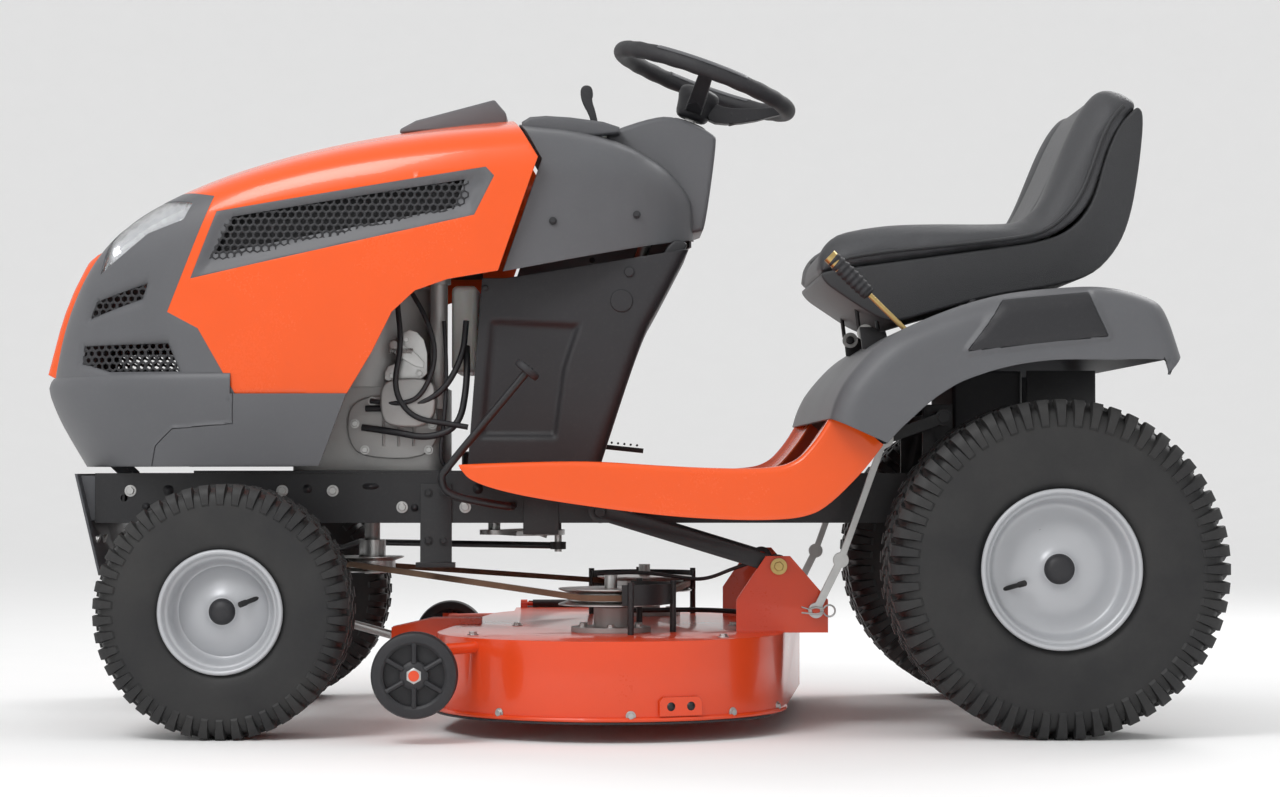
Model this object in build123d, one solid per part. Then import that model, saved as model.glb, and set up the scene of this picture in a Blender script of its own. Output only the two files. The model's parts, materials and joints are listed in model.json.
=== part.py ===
from build123d import *

# Riding lawn mower: a front-engined lawn tractor with a two-blade side-discharge deck.
# It is drawn in machine coordinates, in millimetres: X forward from the rear axle, Y to the
# driver's left from the centre plane, Z up from the ground.  write() moves each piece into the
# part's own frame, whose origin is on the ground under the middle of its length and width.
import math
import os

# ---- driving dimensions -------------------------------------------------------------------
WHEELBASE = 1250.0
MIDDLE_X = 665.0
MIDDLE_Y = -110.0
GAP = 0.3                 # running gap between round faces on different bodies
SHEET = 4.0               # thickness of frame plates and mouldings

REAR_TYRE = {"r": 254.0, "width": 200.0, "rim_r": 117.0, "track": 752.0}
FRONT_TYRE = {"r": 190.5, "width": 150.0, "rim_r": 90.0, "track": 770.0}

RAIL_Y = 165.0            # outer face of each frame rail
RAIL_Z = (318.0, 397.0)
RAIL_X = (-150.0, 1486.0)
RAIL_FLANGE = 35.0

KINGPIN_Y = 270.0
KINGPIN_R = 10.0
STEER_ARM = 105.0         # spindle arm and sector arm, equal so that the links stay parallel
SECTOR_X = 860.0
SECTOR_R = 92.0           # inside radius of the sector's toothed arc
WHEEL_CENTRE = (514.0, 0.0, 1043.0)
COLUMN_TILT = 20.0        # steering column's lean from vertical, degrees
PINION_T = -789.6         # pinion's place along the column, from the wheel's plane
STEERING_WHEEL_R = 145.0
STEERING_GRIP_R = 14.0

LEFT_BLADE = (669.0, 240.0)
RIGHT_BLADE = (609.0, -290.0)
BLADE_LENGTH = 520.0
BLADE_Z = 62.0
LOBE_R = 270.0            # deck's radius about each blade
DECK_Z = (31.0, 150.0)
DECK_SHEET = 3.5
PULLEY_R = 82.0
PULLEY_Z = 205.0
ENGINE_AXIS = (1060.0, 0.0)
ENGINE_PULLEY_R = 52.0
ENGINE_PULLEY_Z = 248.0
BELT_DEPTH = 6.0          # how far inside each pulley's rim the belt's middle runs
GAUGE_X = 957.0
GAUGE_Z = 102.0
GAUGE_R = 63.5
LEFT_GAUGE_Y = 520.0
RIGHT_GAUGE_Y = -500.0

ARM_Y = (236.0, 242.0)
BRACKET_Y = (250.0, 255.0)
ROD_Y = (262.0, 272.0)
ARM_PIVOT = (686.0, 337.0)      # x, z of the deck arms' pivot on the rails
ARM_END = (408.0, 252.0)        # x, z of the bolt in the deck's rear bracket
CLEVIS = (351.0, 184.0)         # x, z of the lift rod's pin in the same bracket
LIFT_SHAFT = (150.0, 484.0)     # x, z of the cross shaft that lifts the deck
LIFT_TIP = (244.0, 450.0)       # x, z of the lift rod's top pin
LINK_FRONT = (1456.0, 250.0)    # x, z of the front link's pin in the front bracket
LINK_REAR = (1015.0, 128.0)     # x, z of its pin at the front of the deck
SLOT_END = (251.0, 450.3)       # front end of the slot that the tip pin slides in
SLOT_PLAY = 1.6
OPEN_PIN = 3.4                  # clearance at the pivots where the linkage is opened
HOOD_PIVOT = (1498.0, 432.0)
SEAT_PIVOT = (262.0, 622.0)
DEFLECTOR_PIVOT = (-572.0, 156.0)   # y, z of the discharge deflector's hinge
HOOD_CLEARANCE = 6.0            # gap between the hood and the dash
HOOD_SEAM_X = 1255.0            # where the bumper meets the lower side panels
HOOD_FLOOR = 408.0              # height of the hood's lower edge
WIDE = (-300, 300)              # lateral range that takes in the whole hood

# Hood sections: x, half width, top, shoulder height, crown
HOOD_STATIONS = ((770, 268, 980, 885, 28), (960, 266, 962, 868, 28), (1140, 258, 930, 838, 27),
                 (1300, 246, 882, 790, 25), (1420, 222, 826, 740, 24), (1490, 190, 764, 684, 22),
                 (1540, 146, 668, 600, 16), (1566, 96, 566, 536, 8))
# Bumper outlines: height, front x, width factor
BUMPER_LEVELS = ((408, 1521, 0.96), (466, 1556, 0.985), (530, 1584, 1.0), (552, 1568, 0.985))
# Dash sections: x, half width, top, shoulder height, crown
DASH_STATIONS = ((540, 120, 868, 830, 12), (600, 176, 918, 868, 16), (700, 224, 958, 880, 20),
                 (860, 250, 972, 880, 26))

# Side outlines, as x, z points
HOOD_REAR = [(700, 1100), (700, 250), (845, 250), (845, 712), (783, 890), (835, 985), (835, 1100)]
SKIRT_EDGE = [(845, 712), (923, 699), (974, 681), (1010, 648), (1041, 586), (1080, 521)]
ORANGE_FRONT = [(HOOD_SEAM_X, 521), (1314, 623), (1363, 649), (1290, 831), (1374, 900), (1374, 1050)]
VENT_LINE = [(1262, 738), (1262, 800), (1240, 812), (900, 860), (878, 846), (890, 806), (930, 797)]
LAMP_LINE = [(1324, 822), (1474, 710), (1466, 747), (1448, 789), (1390, 830)]
SCOOP_LINE = [(838, 960), (838, 979), (857, 1001), (984, 967), (1010, 953), (1010, 940), (984, 930)]
FENDER_LINE = [(336, 488), (327, 520), (261, 595), (137, 646), (75, 664), (-75, 674), (-146, 650),
               (-182, 571)]
DASH_LEVERS = (((690, 96, 930), (706, 96, 1010)), ((638, -98, 905), (626, -98, 954)))


# ---- helpers ------------------------------------------------------------------------------
def write(name, *shapes):
    """Writes the shapes as one node, in the part's frame."""
    solids = [s for shape in shapes for s in shape.solids()]
    moved = [s.moved(Location((-MIDDLE_X, -MIDDLE_Y, 0))) for s in solids]
    os.makedirs("parts", exist_ok=True)
    export_step(Compound(children=moved) if len(moved) > 1 else moved[0], f"parts/{name}.step")


def box(x, y, z):
    """A box from its (low, high) pairs."""
    size = [high - low for low, high in (x, y, z)]
    middle = [(high + low) / 2 for low, high in (x, y, z)]
    return Pos(*middle) * Box(*size)


def upright(x, y, z, r):
    """A vertical cylinder from z[0] to z[1]."""
    return Pos(x, y, (z[0] + z[1]) / 2) * Cylinder(r, z[1] - z[0])


def across(x, z, y, r):
    """A cylinder along Y from y[0] to y[1]."""
    return Pos(x, (y[0] + y[1]) / 2, z) * Rot(90, 0, 0) * Cylinder(r, y[1] - y[0])


def along(y, z, x, r):
    """A cylinder along X from x[0] to x[1]."""
    return Pos((x[0] + x[1]) / 2, y, z) * Rot(0, 90, 0) * Cylinder(r, x[1] - x[0])


def rod(start, end, r):
    """A straight round rod between two points."""
    start, end = Vector(*start), Vector(*end)
    plane = Plane(origin=start, z_dir=end - start)
    return extrude(plane * Circle(r), (end - start).length)


def bent_rod(points, r):
    """A round rod along straight runs, with a ball at each bend."""
    body = rod(points[0], points[1], r)
    for corner, end in zip(points[1:], points[2:]):
        body += Pos(*corner) * Sphere(r)
        body += rod(corner, end, r)
    return body


def side_plate(points, y):
    """A plate whose outline is drawn in the X-Z plane, from y[0] to y[1]."""
    outline = Plane.XZ * make_face(Polyline(*points, close=True))
    return Pos(0, y[1], 0) * extrude(outline, y[1] - y[0])


def flat_plate(outline, z):
    """A plate whose outline is a sketch in the X-Y plane, from z[0] to z[1]."""
    return extrude(Pos(0, 0, z[0]) * outline, z[1] - z[0])


def bar(start, end, y, half, eye=0.0):
    """A flat bar between two X-Z points, half wide each side, with a round eye at each end."""
    (x0, z0), (x1, z1) = start, end
    length = math.hypot(x1 - x0, z1 - z0)
    across_x, across_z = -(z1 - z0) / length * half, (x1 - x0) / length * half
    body = side_plate([(x0 + across_x, z0 + across_z), (x1 + across_x, z1 + across_z),
                       (x1 - across_x, z1 - across_z), (x0 - across_x, z0 - across_z)], y)
    if eye:
        body += across(x0, z0, y, eye)
        body += across(x1, z1, y, eye)
    return body


def turned(points, x, y, z):
    """A solid turned about the lateral line through (x, y, z), from (lateral, radius) points."""
    face = Plane.YZ * make_face(Polyline(*points, close=True))
    return Pos(x, y, z) * revolve(face, Axis.Y)


def mirrored(shape):
    """The same shape on the other side of the centre plane."""
    return mirror(shape, Plane.XZ)


def on_column():
    """Places a shape drawn about Z on the steering column, with z = 0 at the wheel's plane."""
    return Pos(*WHEEL_CENTRE) * Rot(0, -COLUMN_TILT, 0)


# ---- wheels -------------------------------------------------------------------------------
def tyre(size, x, y):
    half, outer, bead = size["width"] / 2, size["r"], size["rim_r"] + 1.0
    wall = bead + 0.36 * (outer - bead)
    right = [(half - 12, bead), (half, wall), (half, outer - 30), (half - 12, outer - 4),
             (half * 0.4, outer)]
    section = make_face(Polyline(*right, *[(-u, r) for u, r in reversed(right)], close=True))
    section = fillet([v for v in section.vertices() if v.Y > bead + 1], 9)
    return Pos(x, y, outer) * revolve(Plane.YZ * section, Axis.Y)


def rim(size, x, y, side, hub_r, bore_r):
    """A pressed steel rim, dished in from its outer side (side is +1 on the left)."""
    half, seat = size["width"] / 2, size["rim_r"]
    points = [
        (half - 13, seat + 0.5), (half - 3, seat + 0.5), (half - 3, seat - 6), (half - 20, seat - 14),
        (half - 48, seat - 16), (half - 52, hub_r + 22), (half - 40, hub_r + 12), (half - 30, hub_r),
        (half - 30, bore_r), (-half + 22, bore_r), (-half + 22, hub_r), (half - 66, hub_r),
        (half - 66, hub_r + 22), (half - 58, seat - 20), (-half + 20, seat - 14),
        (-half + 3, seat - 6), (-half + 3, seat + 0.5), (-half + 13, seat + 0.5),
    ]
    return turned([(side * u, r) for u, r in points], x, y, size["r"])


def wheels():
    rear_y, front_y = REAR_TYRE["track"] / 2, FRONT_TYRE["track"] / 2
    for name, side in (("left", 1), ("right", -1)):
        write(f"rear_{name}_tyre", tyre(REAR_TYRE, 0, side * rear_y))
        write(f"rear_{name}_rim", rim(REAR_TYRE, 0, side * rear_y, side, 24, 12.7 + GAP))
        write(f"front_{name}_tyre", tyre(FRONT_TYRE, WHEELBASE, side * front_y))
        write(f"front_{name}_rim", rim(FRONT_TYRE, WHEELBASE, side * front_y, side, 22, 9.5 + GAP))


# ---- frame, axles and drive ---------------------------------------------------------------
def frame_rails():
    low, high = RAIL_Z
    rail = box(RAIL_X, (RAIL_Y - SHEET, RAIL_Y), RAIL_Z)
    for z in ((low, low + SHEET), (high - SHEET, high)):
        rail += box(RAIL_X, (RAIL_Y - RAIL_FLANGE, RAIL_Y), z)
    rail += across(*ARM_PIVOT, (RAIL_Y - 1, ARM_Y[1] + 8), 8)
    for x in (1340, 1440):
        rail -= across(x, (low + high) / 2, (RAIL_Y - 10, RAIL_Y + 10), 5.5)
    write("frame_rails", rail, mirrored(rail))


def crossmembers():
    low, high = RAIL_Z
    inside, clear_y = RAIL_Y - SHEET, RAIL_Y - RAIL_FLANGE
    between = (low + SHEET, high - SHEET)
    engine_plate = box((900, 1330), (-RAIL_Y, RAIL_Y), (high, high + SHEET))
    engine_plate -= upright(*ENGINE_AXIS, (high - 1, high + SHEET + 1), 40)
    cross = [box((x, x + SHEET), (-inside, inside), between) for x in (-146, 120, 690, 1440)]
    hanger_z = (262, high - SHEET)
    hangers = box((1196, 1200), (-clear_y, clear_y), hanger_z)
    hangers += box((1300, 1304), (-clear_y, clear_y), hanger_z)
    hangers += along(0, 284, (1188, 1312), 9)
    bearing = box((SECTOR_X - 28, SECTOR_X + 28), (-inside, inside), (low + SHEET, low + 2 * SHEET))
    bearing -= upright(SECTOR_X, 0, (low, low + 3 * SHEET), 10 + GAP)
    write("crossmembers", engine_plate, *cross, hangers, bearing)


def frame_brackets():
    """Plates that hang from the rails: the belt keeper's, the idler spring's and the lift shaft's."""
    foot = box((921, 971), (RAIL_Y, RAIL_Y + 5), (256, 380))
    foot += box((915, 977), (RAIL_Y, RAIL_Y + 24), (248, 256))
    spring = box((752, 808), (RAIL_Y, RAIL_Y + SHEET), (300, 380))
    x, z = LIFT_SHAFT
    bearing = box((x - 24, x + 24), (RAIL_Y, RAIL_Y + 6), (330, z + 22))
    bearing -= across(x, z, (RAIL_Y - 1, RAIL_Y + 7), 9 + GAP)
    write("frame_brackets", foot, spring, bearing, mirrored(spring), mirrored(bearing))


def front_bracket():
    top, bottom = RAIL_Z[1] - 1, 236
    lean = 38
    plate = side_plate([(1472, bottom), (1476, bottom), (1476 + lean, top), (1472 + lean, top)], (-190, 190))
    cheek_y = (RAIL_Y - 2 * SHEET, RAIL_Y - SHEET)
    z = (RAIL_Z[0] + SHEET, RAIL_Z[1] - SHEET)
    cheek = side_plate([(1446, z[0]), (1494, z[0]), (1511, z[1]), (1446, z[1])], cheek_y)
    lug = side_plate([(1442, 238), (1473, 238), (1479, 266), (1442, 266)], (12, 16))
    pin = across(*LINK_FRONT, (-18, 18), 5)
    x, z = HOOD_PIVOT
    ear = side_plate([(x - 50, top - 20), (1507, top - 20), (1507, top - 6), (x - 33, top - 6),
                      (x + 5, z - 6), (x + 2, z + 8), (x - 6, z + 8), (x - 50, top + 3)], (34, 39))
    ear += across(x, z, (34, 39), 9) + across(x, z, (34, 54), 6)
    body = plate + cheek + mirrored(cheek) + lug + mirrored(lug) + pin + ear + mirrored(ear)
    write("front_bracket", body)


def front_axle():
    beam = fillet(box((1228, 1272), (-256, 256), (262, 305)).edges().filter_by(Axis.Y), 8)
    axle = beam + along(0, 284, (1201, 1299), 22)
    for side in (1, -1):
        axle += upright(WHEELBASE, side * KINGPIN_Y, (242, 306), 19)
    axle -= along(0, 284, (1190, 1310), 9 + GAP)
    for side in (1, -1):
        axle -= upright(WHEELBASE, side * KINGPIN_Y, (230, 310), KINGPIN_R + GAP)
    write("front_axle", axle)


def spindle(side):
    y, arm_x = side * KINGPIN_Y, WHEELBASE - STEER_ARM
    hub_z = FRONT_TYRE["r"]
    body = upright(WHEELBASE, y, (hub_z, 320), KINGPIN_R)
    body += upright(WHEELBASE, y, (hub_z - 18, 238), 18)
    body += upright(WHEELBASE, y, (309, 316), 17)
    stub_end = side * (FRONT_TYRE["track"] / 2 + 50)
    body += across(WHEELBASE, hub_z, sorted((y, stub_end)), 9.5)
    body += box((arm_x - 12, WHEELBASE), (y - 12, y + 12), (226, 234))
    body += upright(arm_x, y, (230, 256 if side > 0 else 274), 6)
    return body


def link_end(x, y, z):
    return upright(x, y, (z - 6, z + 6), 13) - upright(x, y, (z - 7, z + 7), 6 + GAP)


def steering_links():
    for name, side in (("left", 1), ("right", -1)):
        write(f"{name}_spindle", spindle(side))
    arm_x, tie_z = WHEELBASE - STEER_ARM, 246
    reach = KINGPIN_Y - 12.5
    tie = rod((arm_x, reach, tie_z), (arm_x, -reach, tie_z), 5.5)
    write("tie_rod", tie + link_end(arm_x, KINGPIN_Y, tie_z) + link_end(arm_x, -KINGPIN_Y, tie_z))

    back_x, high, low = SECTOR_X - STEER_ARM, 278, 266
    back, front = Vector(back_x, 0, 0), Vector(arm_x, -KINGPIN_Y, 0)
    step = (front - back).normalized()
    near, bend, far = back + step * 12.5, front - step * 55, front - step * 12.5
    link = bent_rod([(near.X, near.Y, high), (bend.X, bend.Y, high), (far.X, far.Y, low)], 5.5)
    write("drag_link", link + link_end(back_x, 0, high) + link_end(arm_x, -KINGPIN_Y, low))


def wedge(half_angle, reach):
    """A sketch of the sector of directions within half_angle of the rear, as a wide fan."""
    spread = math.radians(half_angle)
    far_x, far_y = -reach * math.cos(spread), reach * math.sin(spread)
    return make_face(Polyline((0, 0), (far_x, far_y), (-reach, far_y), (-reach, -far_y), (far_x, -far_y),
                              close=True))


def steering_sector():
    """A toothed arc that turns with the pinion inside it, on a shaft under the bearing plate."""
    plate_z = (296, 304)
    fan = wedge(70, 300)
    ring = (Circle(SECTOR_R + 24) - Circle(SECTOR_R)) & fan
    web = (Circle(SECTOR_R + 1) - Circle(20)) & fan
    window = wedge(60, 300) & Circle(SECTOR_R)
    sector = flat_plate(Pos(SECTOR_X, 0) * (ring + (web - window)), plate_z)
    sector += upright(SECTOR_X, 0, (plate_z[0], 340), 10)
    sector += upright(SECTOR_X, 0, plate_z, 24)
    sector += upright(SECTOR_X - STEER_ARM, 0, (268, plate_z[0] + 1), 6)
    write("steering_sector", sector)


def steering_column():
    ring = Torus(STEERING_WHEEL_R, STEERING_GRIP_R)
    wheel = ring + Pos(0, 0, -48) * Cylinder(27, 40)
    spoke_side = make_face(Polyline((14, -66), (40, -66), (STEERING_WHEEL_R, -8), (STEERING_WHEEL_R - 4, 6),
                                    (60, -26), (14, -34), close=True))
    for angle, width in ((90, 26), (-90, 26), (180, 30)):
        spoke = extrude(Plane.XZ * spoke_side, width / 2, both=True)
        wheel += Rot(0, 0, angle) * spoke
    wheel -= Pos(0, 0, -70) * Cylinder(9.5, 60)
    write("steering_wheel", on_column() * wheel)
    top, bottom = -40.0, PINION_T - 7
    shaft = Pos(0, 0, (top + bottom) / 2) * Cylinder(9.5, top - bottom)
    shaft += Pos(0, 0, PINION_T) * Cylinder(13, 14)
    write("steering_shaft", on_column() * shaft)


def transaxle():
    middle = fillet(box((-90, 100), (-118, 118), (205, 312)).edges(), 12)
    axle_z = REAR_TYRE["r"]
    tubes = across(0, axle_z, (-250, 250), 28)
    shaft = across(0, axle_z, (-400, 400), 12.7)
    write("transaxle", middle + tubes + shaft)


def engine():
    base = RAIL_Z[1] + SHEET
    block = fillet(box((935, 1180), (-125, 125), (base, 535)).edges().filter_by(Axis.Z), 30)
    block += fillet(box((1120, 1330), (-85, 85), (430, 600)).edges().filter_by(Axis.X), 20)
    shroud = fillet(upright(1070, 0, (535, 700), 130).edges().group_by(Axis.Z)[-1], 12)
    crank = upright(*ENGINE_AXIS, (232, base + 4), 12.7)
    filler = upright(945, 108, (500, 700), 14) + upright(945, 108, (700, 722), 19)
    write("engine", block + shroud + crank + filler)


def engine_pulley():
    hub = upright(*ENGINE_AXIS, (ENGINE_PULLEY_Z, ENGINE_PULLEY_Z + 40), 22)
    pulley = Pos(*ENGINE_AXIS, ENGINE_PULLEY_Z) * sheave(ENGINE_PULLEY_R) + hub
    write("engine_pulley", pulley - upright(*ENGINE_AXIS, (200, 300), 12.7 + GAP))


def sheave(r):
    """A V pulley about Z, its groove's middle at z = 0."""
    half, depth = 13.0, 14.0
    section = make_face(Polyline((0, -half), (r, -half), (r, -half + 2), (r - depth, -6), (r - depth, 6),
                                 (r, half - 2), (r, half), (0, half), close=True))
    return revolve(Plane.XZ * section, Axis.Z)


def fuel_tank():
    tank = fillet(box((884, 926), (-120, 88), (560, 700)).edges(), 10)
    write("fuel_tank", tank)


# ---- hood ---------------------------------------------------------------------------------
def shell_section(x, half_width, top, shoulder, bottom, crown, soft=26.0):
    """One cross-section of a moulded cover, as a face at x."""
    outline = Polyline(
        (-half_width, bottom), (-half_width - 2, shoulder), (-half_width * 0.80, top - crown),
        (0, top), (half_width * 0.80, top - crown), (half_width + 2, shoulder),
        (half_width, bottom), close=True)
    face = make_face(outline)
    face = fillet([v for v in face.vertices() if v.Y > bottom + 10 and abs(v.X) > 1], soft)
    plane = Plane(origin=(x, 0, 0), x_dir=(0, 1, 0), z_dir=(1, 0, 0))
    return plane * face


def hood_form(inset):
    """The hood's outer form, or its hollow when inset is more than 0."""
    bottom = 300
    faces = []
    for x, width, top, shoulder, crown in HOOD_STATIONS:
        if inset:
            x -= 5 if x == HOOD_STATIONS[0][0] else inset
        faces.append(shell_section(x, width - inset, top - inset, shoulder - inset, bottom, crown,
                                   26 if top > 600 else 10))
    return loft(faces)


def bumper_form(inset):
    """The bumper's outer form, or its hollow when inset is more than 0, lofted from plan outlines."""
    back = HOOD_SEAM_X - inset
    plan = ((0.0, 254), (0.35, 240), (0.66, 206), (0.87, 146), (1.0, 60))
    levels = []
    for z, front, width in BUMPER_LEVELS:
        reach = front - inset - back
        half = [(back + share * reach, (y - inset) * width) for share, y in plan]
        outline = half + [(x, -y) for x, y in reversed(half)]
        height = z - (inset if z > BUMPER_LEVELS[1][0] else 2 * inset)
        levels.append(Pos(0, 0, height) * make_face(Polyline(*outline, close=True)))
    return loft(levels, ruled=True)


def hood():
    form = hood_form(0)
    body = form - hood_form(SHEET)
    body -= side_plate(HOOD_REAR, WIDE)
    body &= box((700, 1700), WIDE, (HOOD_FLOOR, 1100))
    bumper_body = bumper_form(0)
    skirt = side_plate([SKIRT_EDGE[-1], (1123, HOOD_FLOOR), (HOOD_SEAM_X, HOOD_FLOOR), ORANGE_FRONT[0]], WIDE)
    orange = side_plate([(760, 1050), (760, 700)] + SKIRT_EDGE + ORANGE_FRONT, WIDE)
    vents = side_plate(VENT_LINE, (150, 300)) + side_plate(VENT_LINE, (-300, -150))
    lamps = side_plate(LAMP_LINE, (80, 300)) + side_plate(LAMP_LINE, (-300, -80))
    behind = side_plate([(700, 720)] + SKIRT_EDGE + [(1123, HOOD_FLOOR), (1123, 300), (700, 300)], WIDE)
    below = box((HOOD_SEAM_X, 1700), WIDE, (300, 521))
    upper = body - skirt - behind - below - bumper_body
    write("hood_shell", (upper & orange) - vents)
    write("side_vents", upper & orange & vents)
    write("headlamps", (upper - orange) & lamps)
    cowl_sides = ((upper - orange) - lamps) & box((HOOD_SEAM_X, 1700), (0, 300), (521, 1100))
    cowl_left = max(cowl_sides.solids(), key=lambda piece: piece.volume)
    write("nose_cowl", cowl_left, mirrored(cowl_left))
    write("hood_scoop", side_plate(SCOOP_LINE, (-92, 92)) - form)

    x, z = HOOD_PIVOT
    lug = side_plate([(x - 12, z - 12), (x + 12, z - 12), (x + 90, z + 60), (x + 90, z + 80),
                      (x - 12, z + 12)], (42, 47))
    lug &= bumper_body
    bumper = bumper_body - bumper_form(SHEET)
    bumper -= hood_form(SHEET) & box((HOOD_SEAM_X - 10, 1700), WIDE, (521, 700))
    bumper += (body & skirt) + lug + mirrored(lug)
    bumper -= across(x, z, (-60, 60), 6 + GAP)
    write("bumper", bumper)


# ---- dash, console, footrests and fender --------------------------------------------------
def dash_cover():
    outer_faces, inner_faces = [], []
    for x, width, top, shoulder, crown in DASH_STATIONS:
        outer_faces.append(shell_section(x, width, top, shoulder, 600, crown, 14))
        inner_x = {540: 543, 860: 861}.get(x, x)
        narrow = width - SHEET
        inner_faces.append(shell_section(inner_x, narrow, top - SHEET, shoulder - SHEET, 590, crown, 10))
    outer, inner = loft(outer_faces), loft(inner_faces)
    tower = [(600, 972), (566, 978), (500, 948), (497, 932), (515, 800), (523, 784), (640, 784), (700, 930)]
    tower_hollow = [(600, 967), (568, 973), (505, 945), (502, 932), (519, 801), (527, 780), (640, 780),
                    (700, 926)]
    outer += side_plate(tower, (-84, 84))
    inner += side_plate(tower_hollow, (-80, 80))
    body = outer - inner
    gap = HOOD_CLEARANCE
    keep = [(480, 784), (836 - gap, 712), (845 - gap, 712), (783 - gap, 890), (835 - gap, 985),
            (835 - gap, 1100), (480, 1100)]
    body &= side_plate(keep, (-300, 300))
    body -= on_column() * (Pos(0, 0, -300) * Cylinder(20, 700))
    for start, end in DASH_LEVERS:
        body -= rod(start, end, 5)
    write("dash_cover", body)


def console():
    outline = [(873, 708), (896, 402), (688, 402), (618, 617), (592, 662), (530, 782)]
    outer = side_plate(outline, (-180, 180))
    hollow = [(869, 800), (869, 704), (892, 390), (691, 390), (622, 618), (596, 664), (530, 792), (528, 800)]
    body = outer - side_plate(hollow, (-176, 176))
    body -= side_plate([(400, 776), (400, 900), (900, 900), (900, 706), (836, 706)], (-190, 190))
    write("console", body)


def footrest():
    """A tread plate with a skirt on each side, rising at the back to meet the fender."""
    top = [(899, 408), (687, 415), (668, 402), (408, 402), (336, 484)]
    lower = [(255, 442), (350, 341), (420, 326), (581, 332), (697, 346), (812, 364)]
    outer = side_plate(top + lower, (RAIL_Y + 18, 400))
    under = [(x - (3 if x < 410 else 0), z - SHEET) for x, z in top[1:]]
    hollow = side_plate([(896, 396)] + under + [(320, 470), (200, 442), (200, 200), (900, 200)],
                        (RAIL_Y + 10, 400 - SHEET))
    body = outer - hollow
    write("footrest", body, mirrored(body))


def fender():
    """A moulded cover over both rear wheels, open below, with a lip along each arch."""
    arch = [(-74, 566), (-4, 567), (83, 556), (144, 536), (192, 506), (255, 446)]
    outer = side_plate(FENDER_LINE + arch, (-460, 460))
    outer = fillet(outer.edges().filter_by(lambda e: e.center().Z > 600 and abs(e.center().Y) > 455), 18)
    inside = [(x - 5 if x > 0 else x + 5, z - 5) for x, z in FENDER_LINE[1:-1]]
    hollow = side_plate([(331, 470)] + inside + [(-172, 560), (-172, 400), (331, 400)], (-455, 455))
    body = outer - hollow
    lift_slot = box((38, 218), (-342, -318), (560, 720))
    lever_slot = box((196, 236), (320, 340), (560, 720))
    write("fender", body - lift_slot - lever_slot)


def rear_frame():
    low, high = RAIL_Z
    plate = box((-154, -150), (-190, 190), (low, 470))
    tongue = box((-214, -150), (-55, 55), (low, low + 6))
    tongue -= upright(-190, 0, (low - 1, low + 7), 8)
    post = box((-102, 8), (RAIL_Y, RAIL_Y + SHEET), (330, 560))
    write("rear_frame", plate + tongue, post, mirrored(post))
    tray = fillet(box((12, 124), (-150, 150), (high, 560)).edges().filter_by(Axis.Z), 8)
    write("battery_box", tray)
    x, z = SEAT_PIVOT
    (low_x, low_z), (high_x, high_z) = FENDER_LINE[2], FENDER_LINE[3]
    back_z = low_z + (high_z - low_z) * (low_x - 222) / (low_x - high_x)
    foot = side_plate([(222, back_z), (low_x, low_z), (x + 6, low_z), (x + 10, z + 8), (x - 10, z + 8)],
                      (150, 156))
    foot += across(x, z, (130, 156), 6)
    write("seat_bracket", foot, mirrored(foot))


def controls():
    outer = RAIL_Y
    arm = bent_rod([(824, outer, 345), (824, 268, 345), (924, 268, 362), (934, 270, 390), (801, 282, 555)], 6)
    pad = Pos(799, 282, 557) * Rot(0, -40, 0) * Cylinder(21, 10)
    write("brake_pedal", arm + pad)
    arm = bent_rod([(830, -outer, 345), (830, -250, 345), (920, -250, 358), (920, -262, 428),
                    (700, -285, 440)], 6)
    pad = Pos(666, -285, 441) * Rot(0, -6, 0) * Box(110, 52, 8)
    write("drive_pedal", arm + pad)
    levers = [rod(start, end, 3.5) + Pos(*end) * Sphere(9) for start, end in DASH_LEVERS]
    write("dash_levers", *levers)
    grip = rod((292, 330, 690), (334, 330, 731), 11)
    write("fender_lever", rod((214, 330, 614), (292, 330, 690), 4) + grip)


# ---- seat ---------------------------------------------------------------------------------
def seat():
    pan = side_plate([(334, 700), (313, 682), (253, 640), (221, 634), (74, 678), (-87, 706), (-146, 787),
                      (-171, 961), (-158, 975), (-132, 948), (-109, 897), (-91, 828), (-64, 787), (-18, 764),
                      (79, 750), (286, 722), (334, 716)], (-225, 225))
    hollow = side_plate([(300, 600), (300, 703), (286, 708), (79, 736), (-20, 742), (-66, 764), (-84, 730),
                         (-84, 600)], (-215, 215))
    x, z = SEAT_PIVOT
    lug = side_plate([(x - 10, z - 9), (x + 9, z - 9), (x + 9, z + 92), (x - 22, z + 92)], (138, 144))
    lug += across(x, z, (138, 144), 13)
    lug -= across(x, z, (120, 150), 6 + GAP)
    write("seat_base", pan - hollow + lug + mirrored(lug))
    cushion = side_plate([(334, 717), (286, 723), (79, 751), (-18, 765), (8, 792), (166, 785), (281, 771),
                          (330, 740)], (-232, 232))
    write("seat_cushion", fillet(cushion.edges().filter_by(lambda e: abs(e.center().Y) > 230), 6))
    back = side_plate([(-20, 767), (-64, 789), (-91, 829), (-109, 898), (-132, 949), (-157, 976),
                       (-128, 1004), (-98, 994), (4, 796)], (-232, 232))
    write("back_cushion", fillet(back.edges().filter_by(lambda e: abs(e.center().Y) > 230), 6))


# ---- mower deck ---------------------------------------------------------------------------
def deck_outline(grow):
    """The deck's plan: two round lobes about the blades, joined, with a chute on the right."""
    lobes = [Pos(*centre) * Circle(LOBE_R + grow) for centre in (LEFT_BLADE, RIGHT_BLADE)]
    body = make_hull([edge for lobe in lobes for edge in lobe.edges()])
    chute = Pos(715, (-560 - 290) / 2) * Rectangle(250 + 2 * grow, 270 + 2 * grow)
    return body + chute


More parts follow.
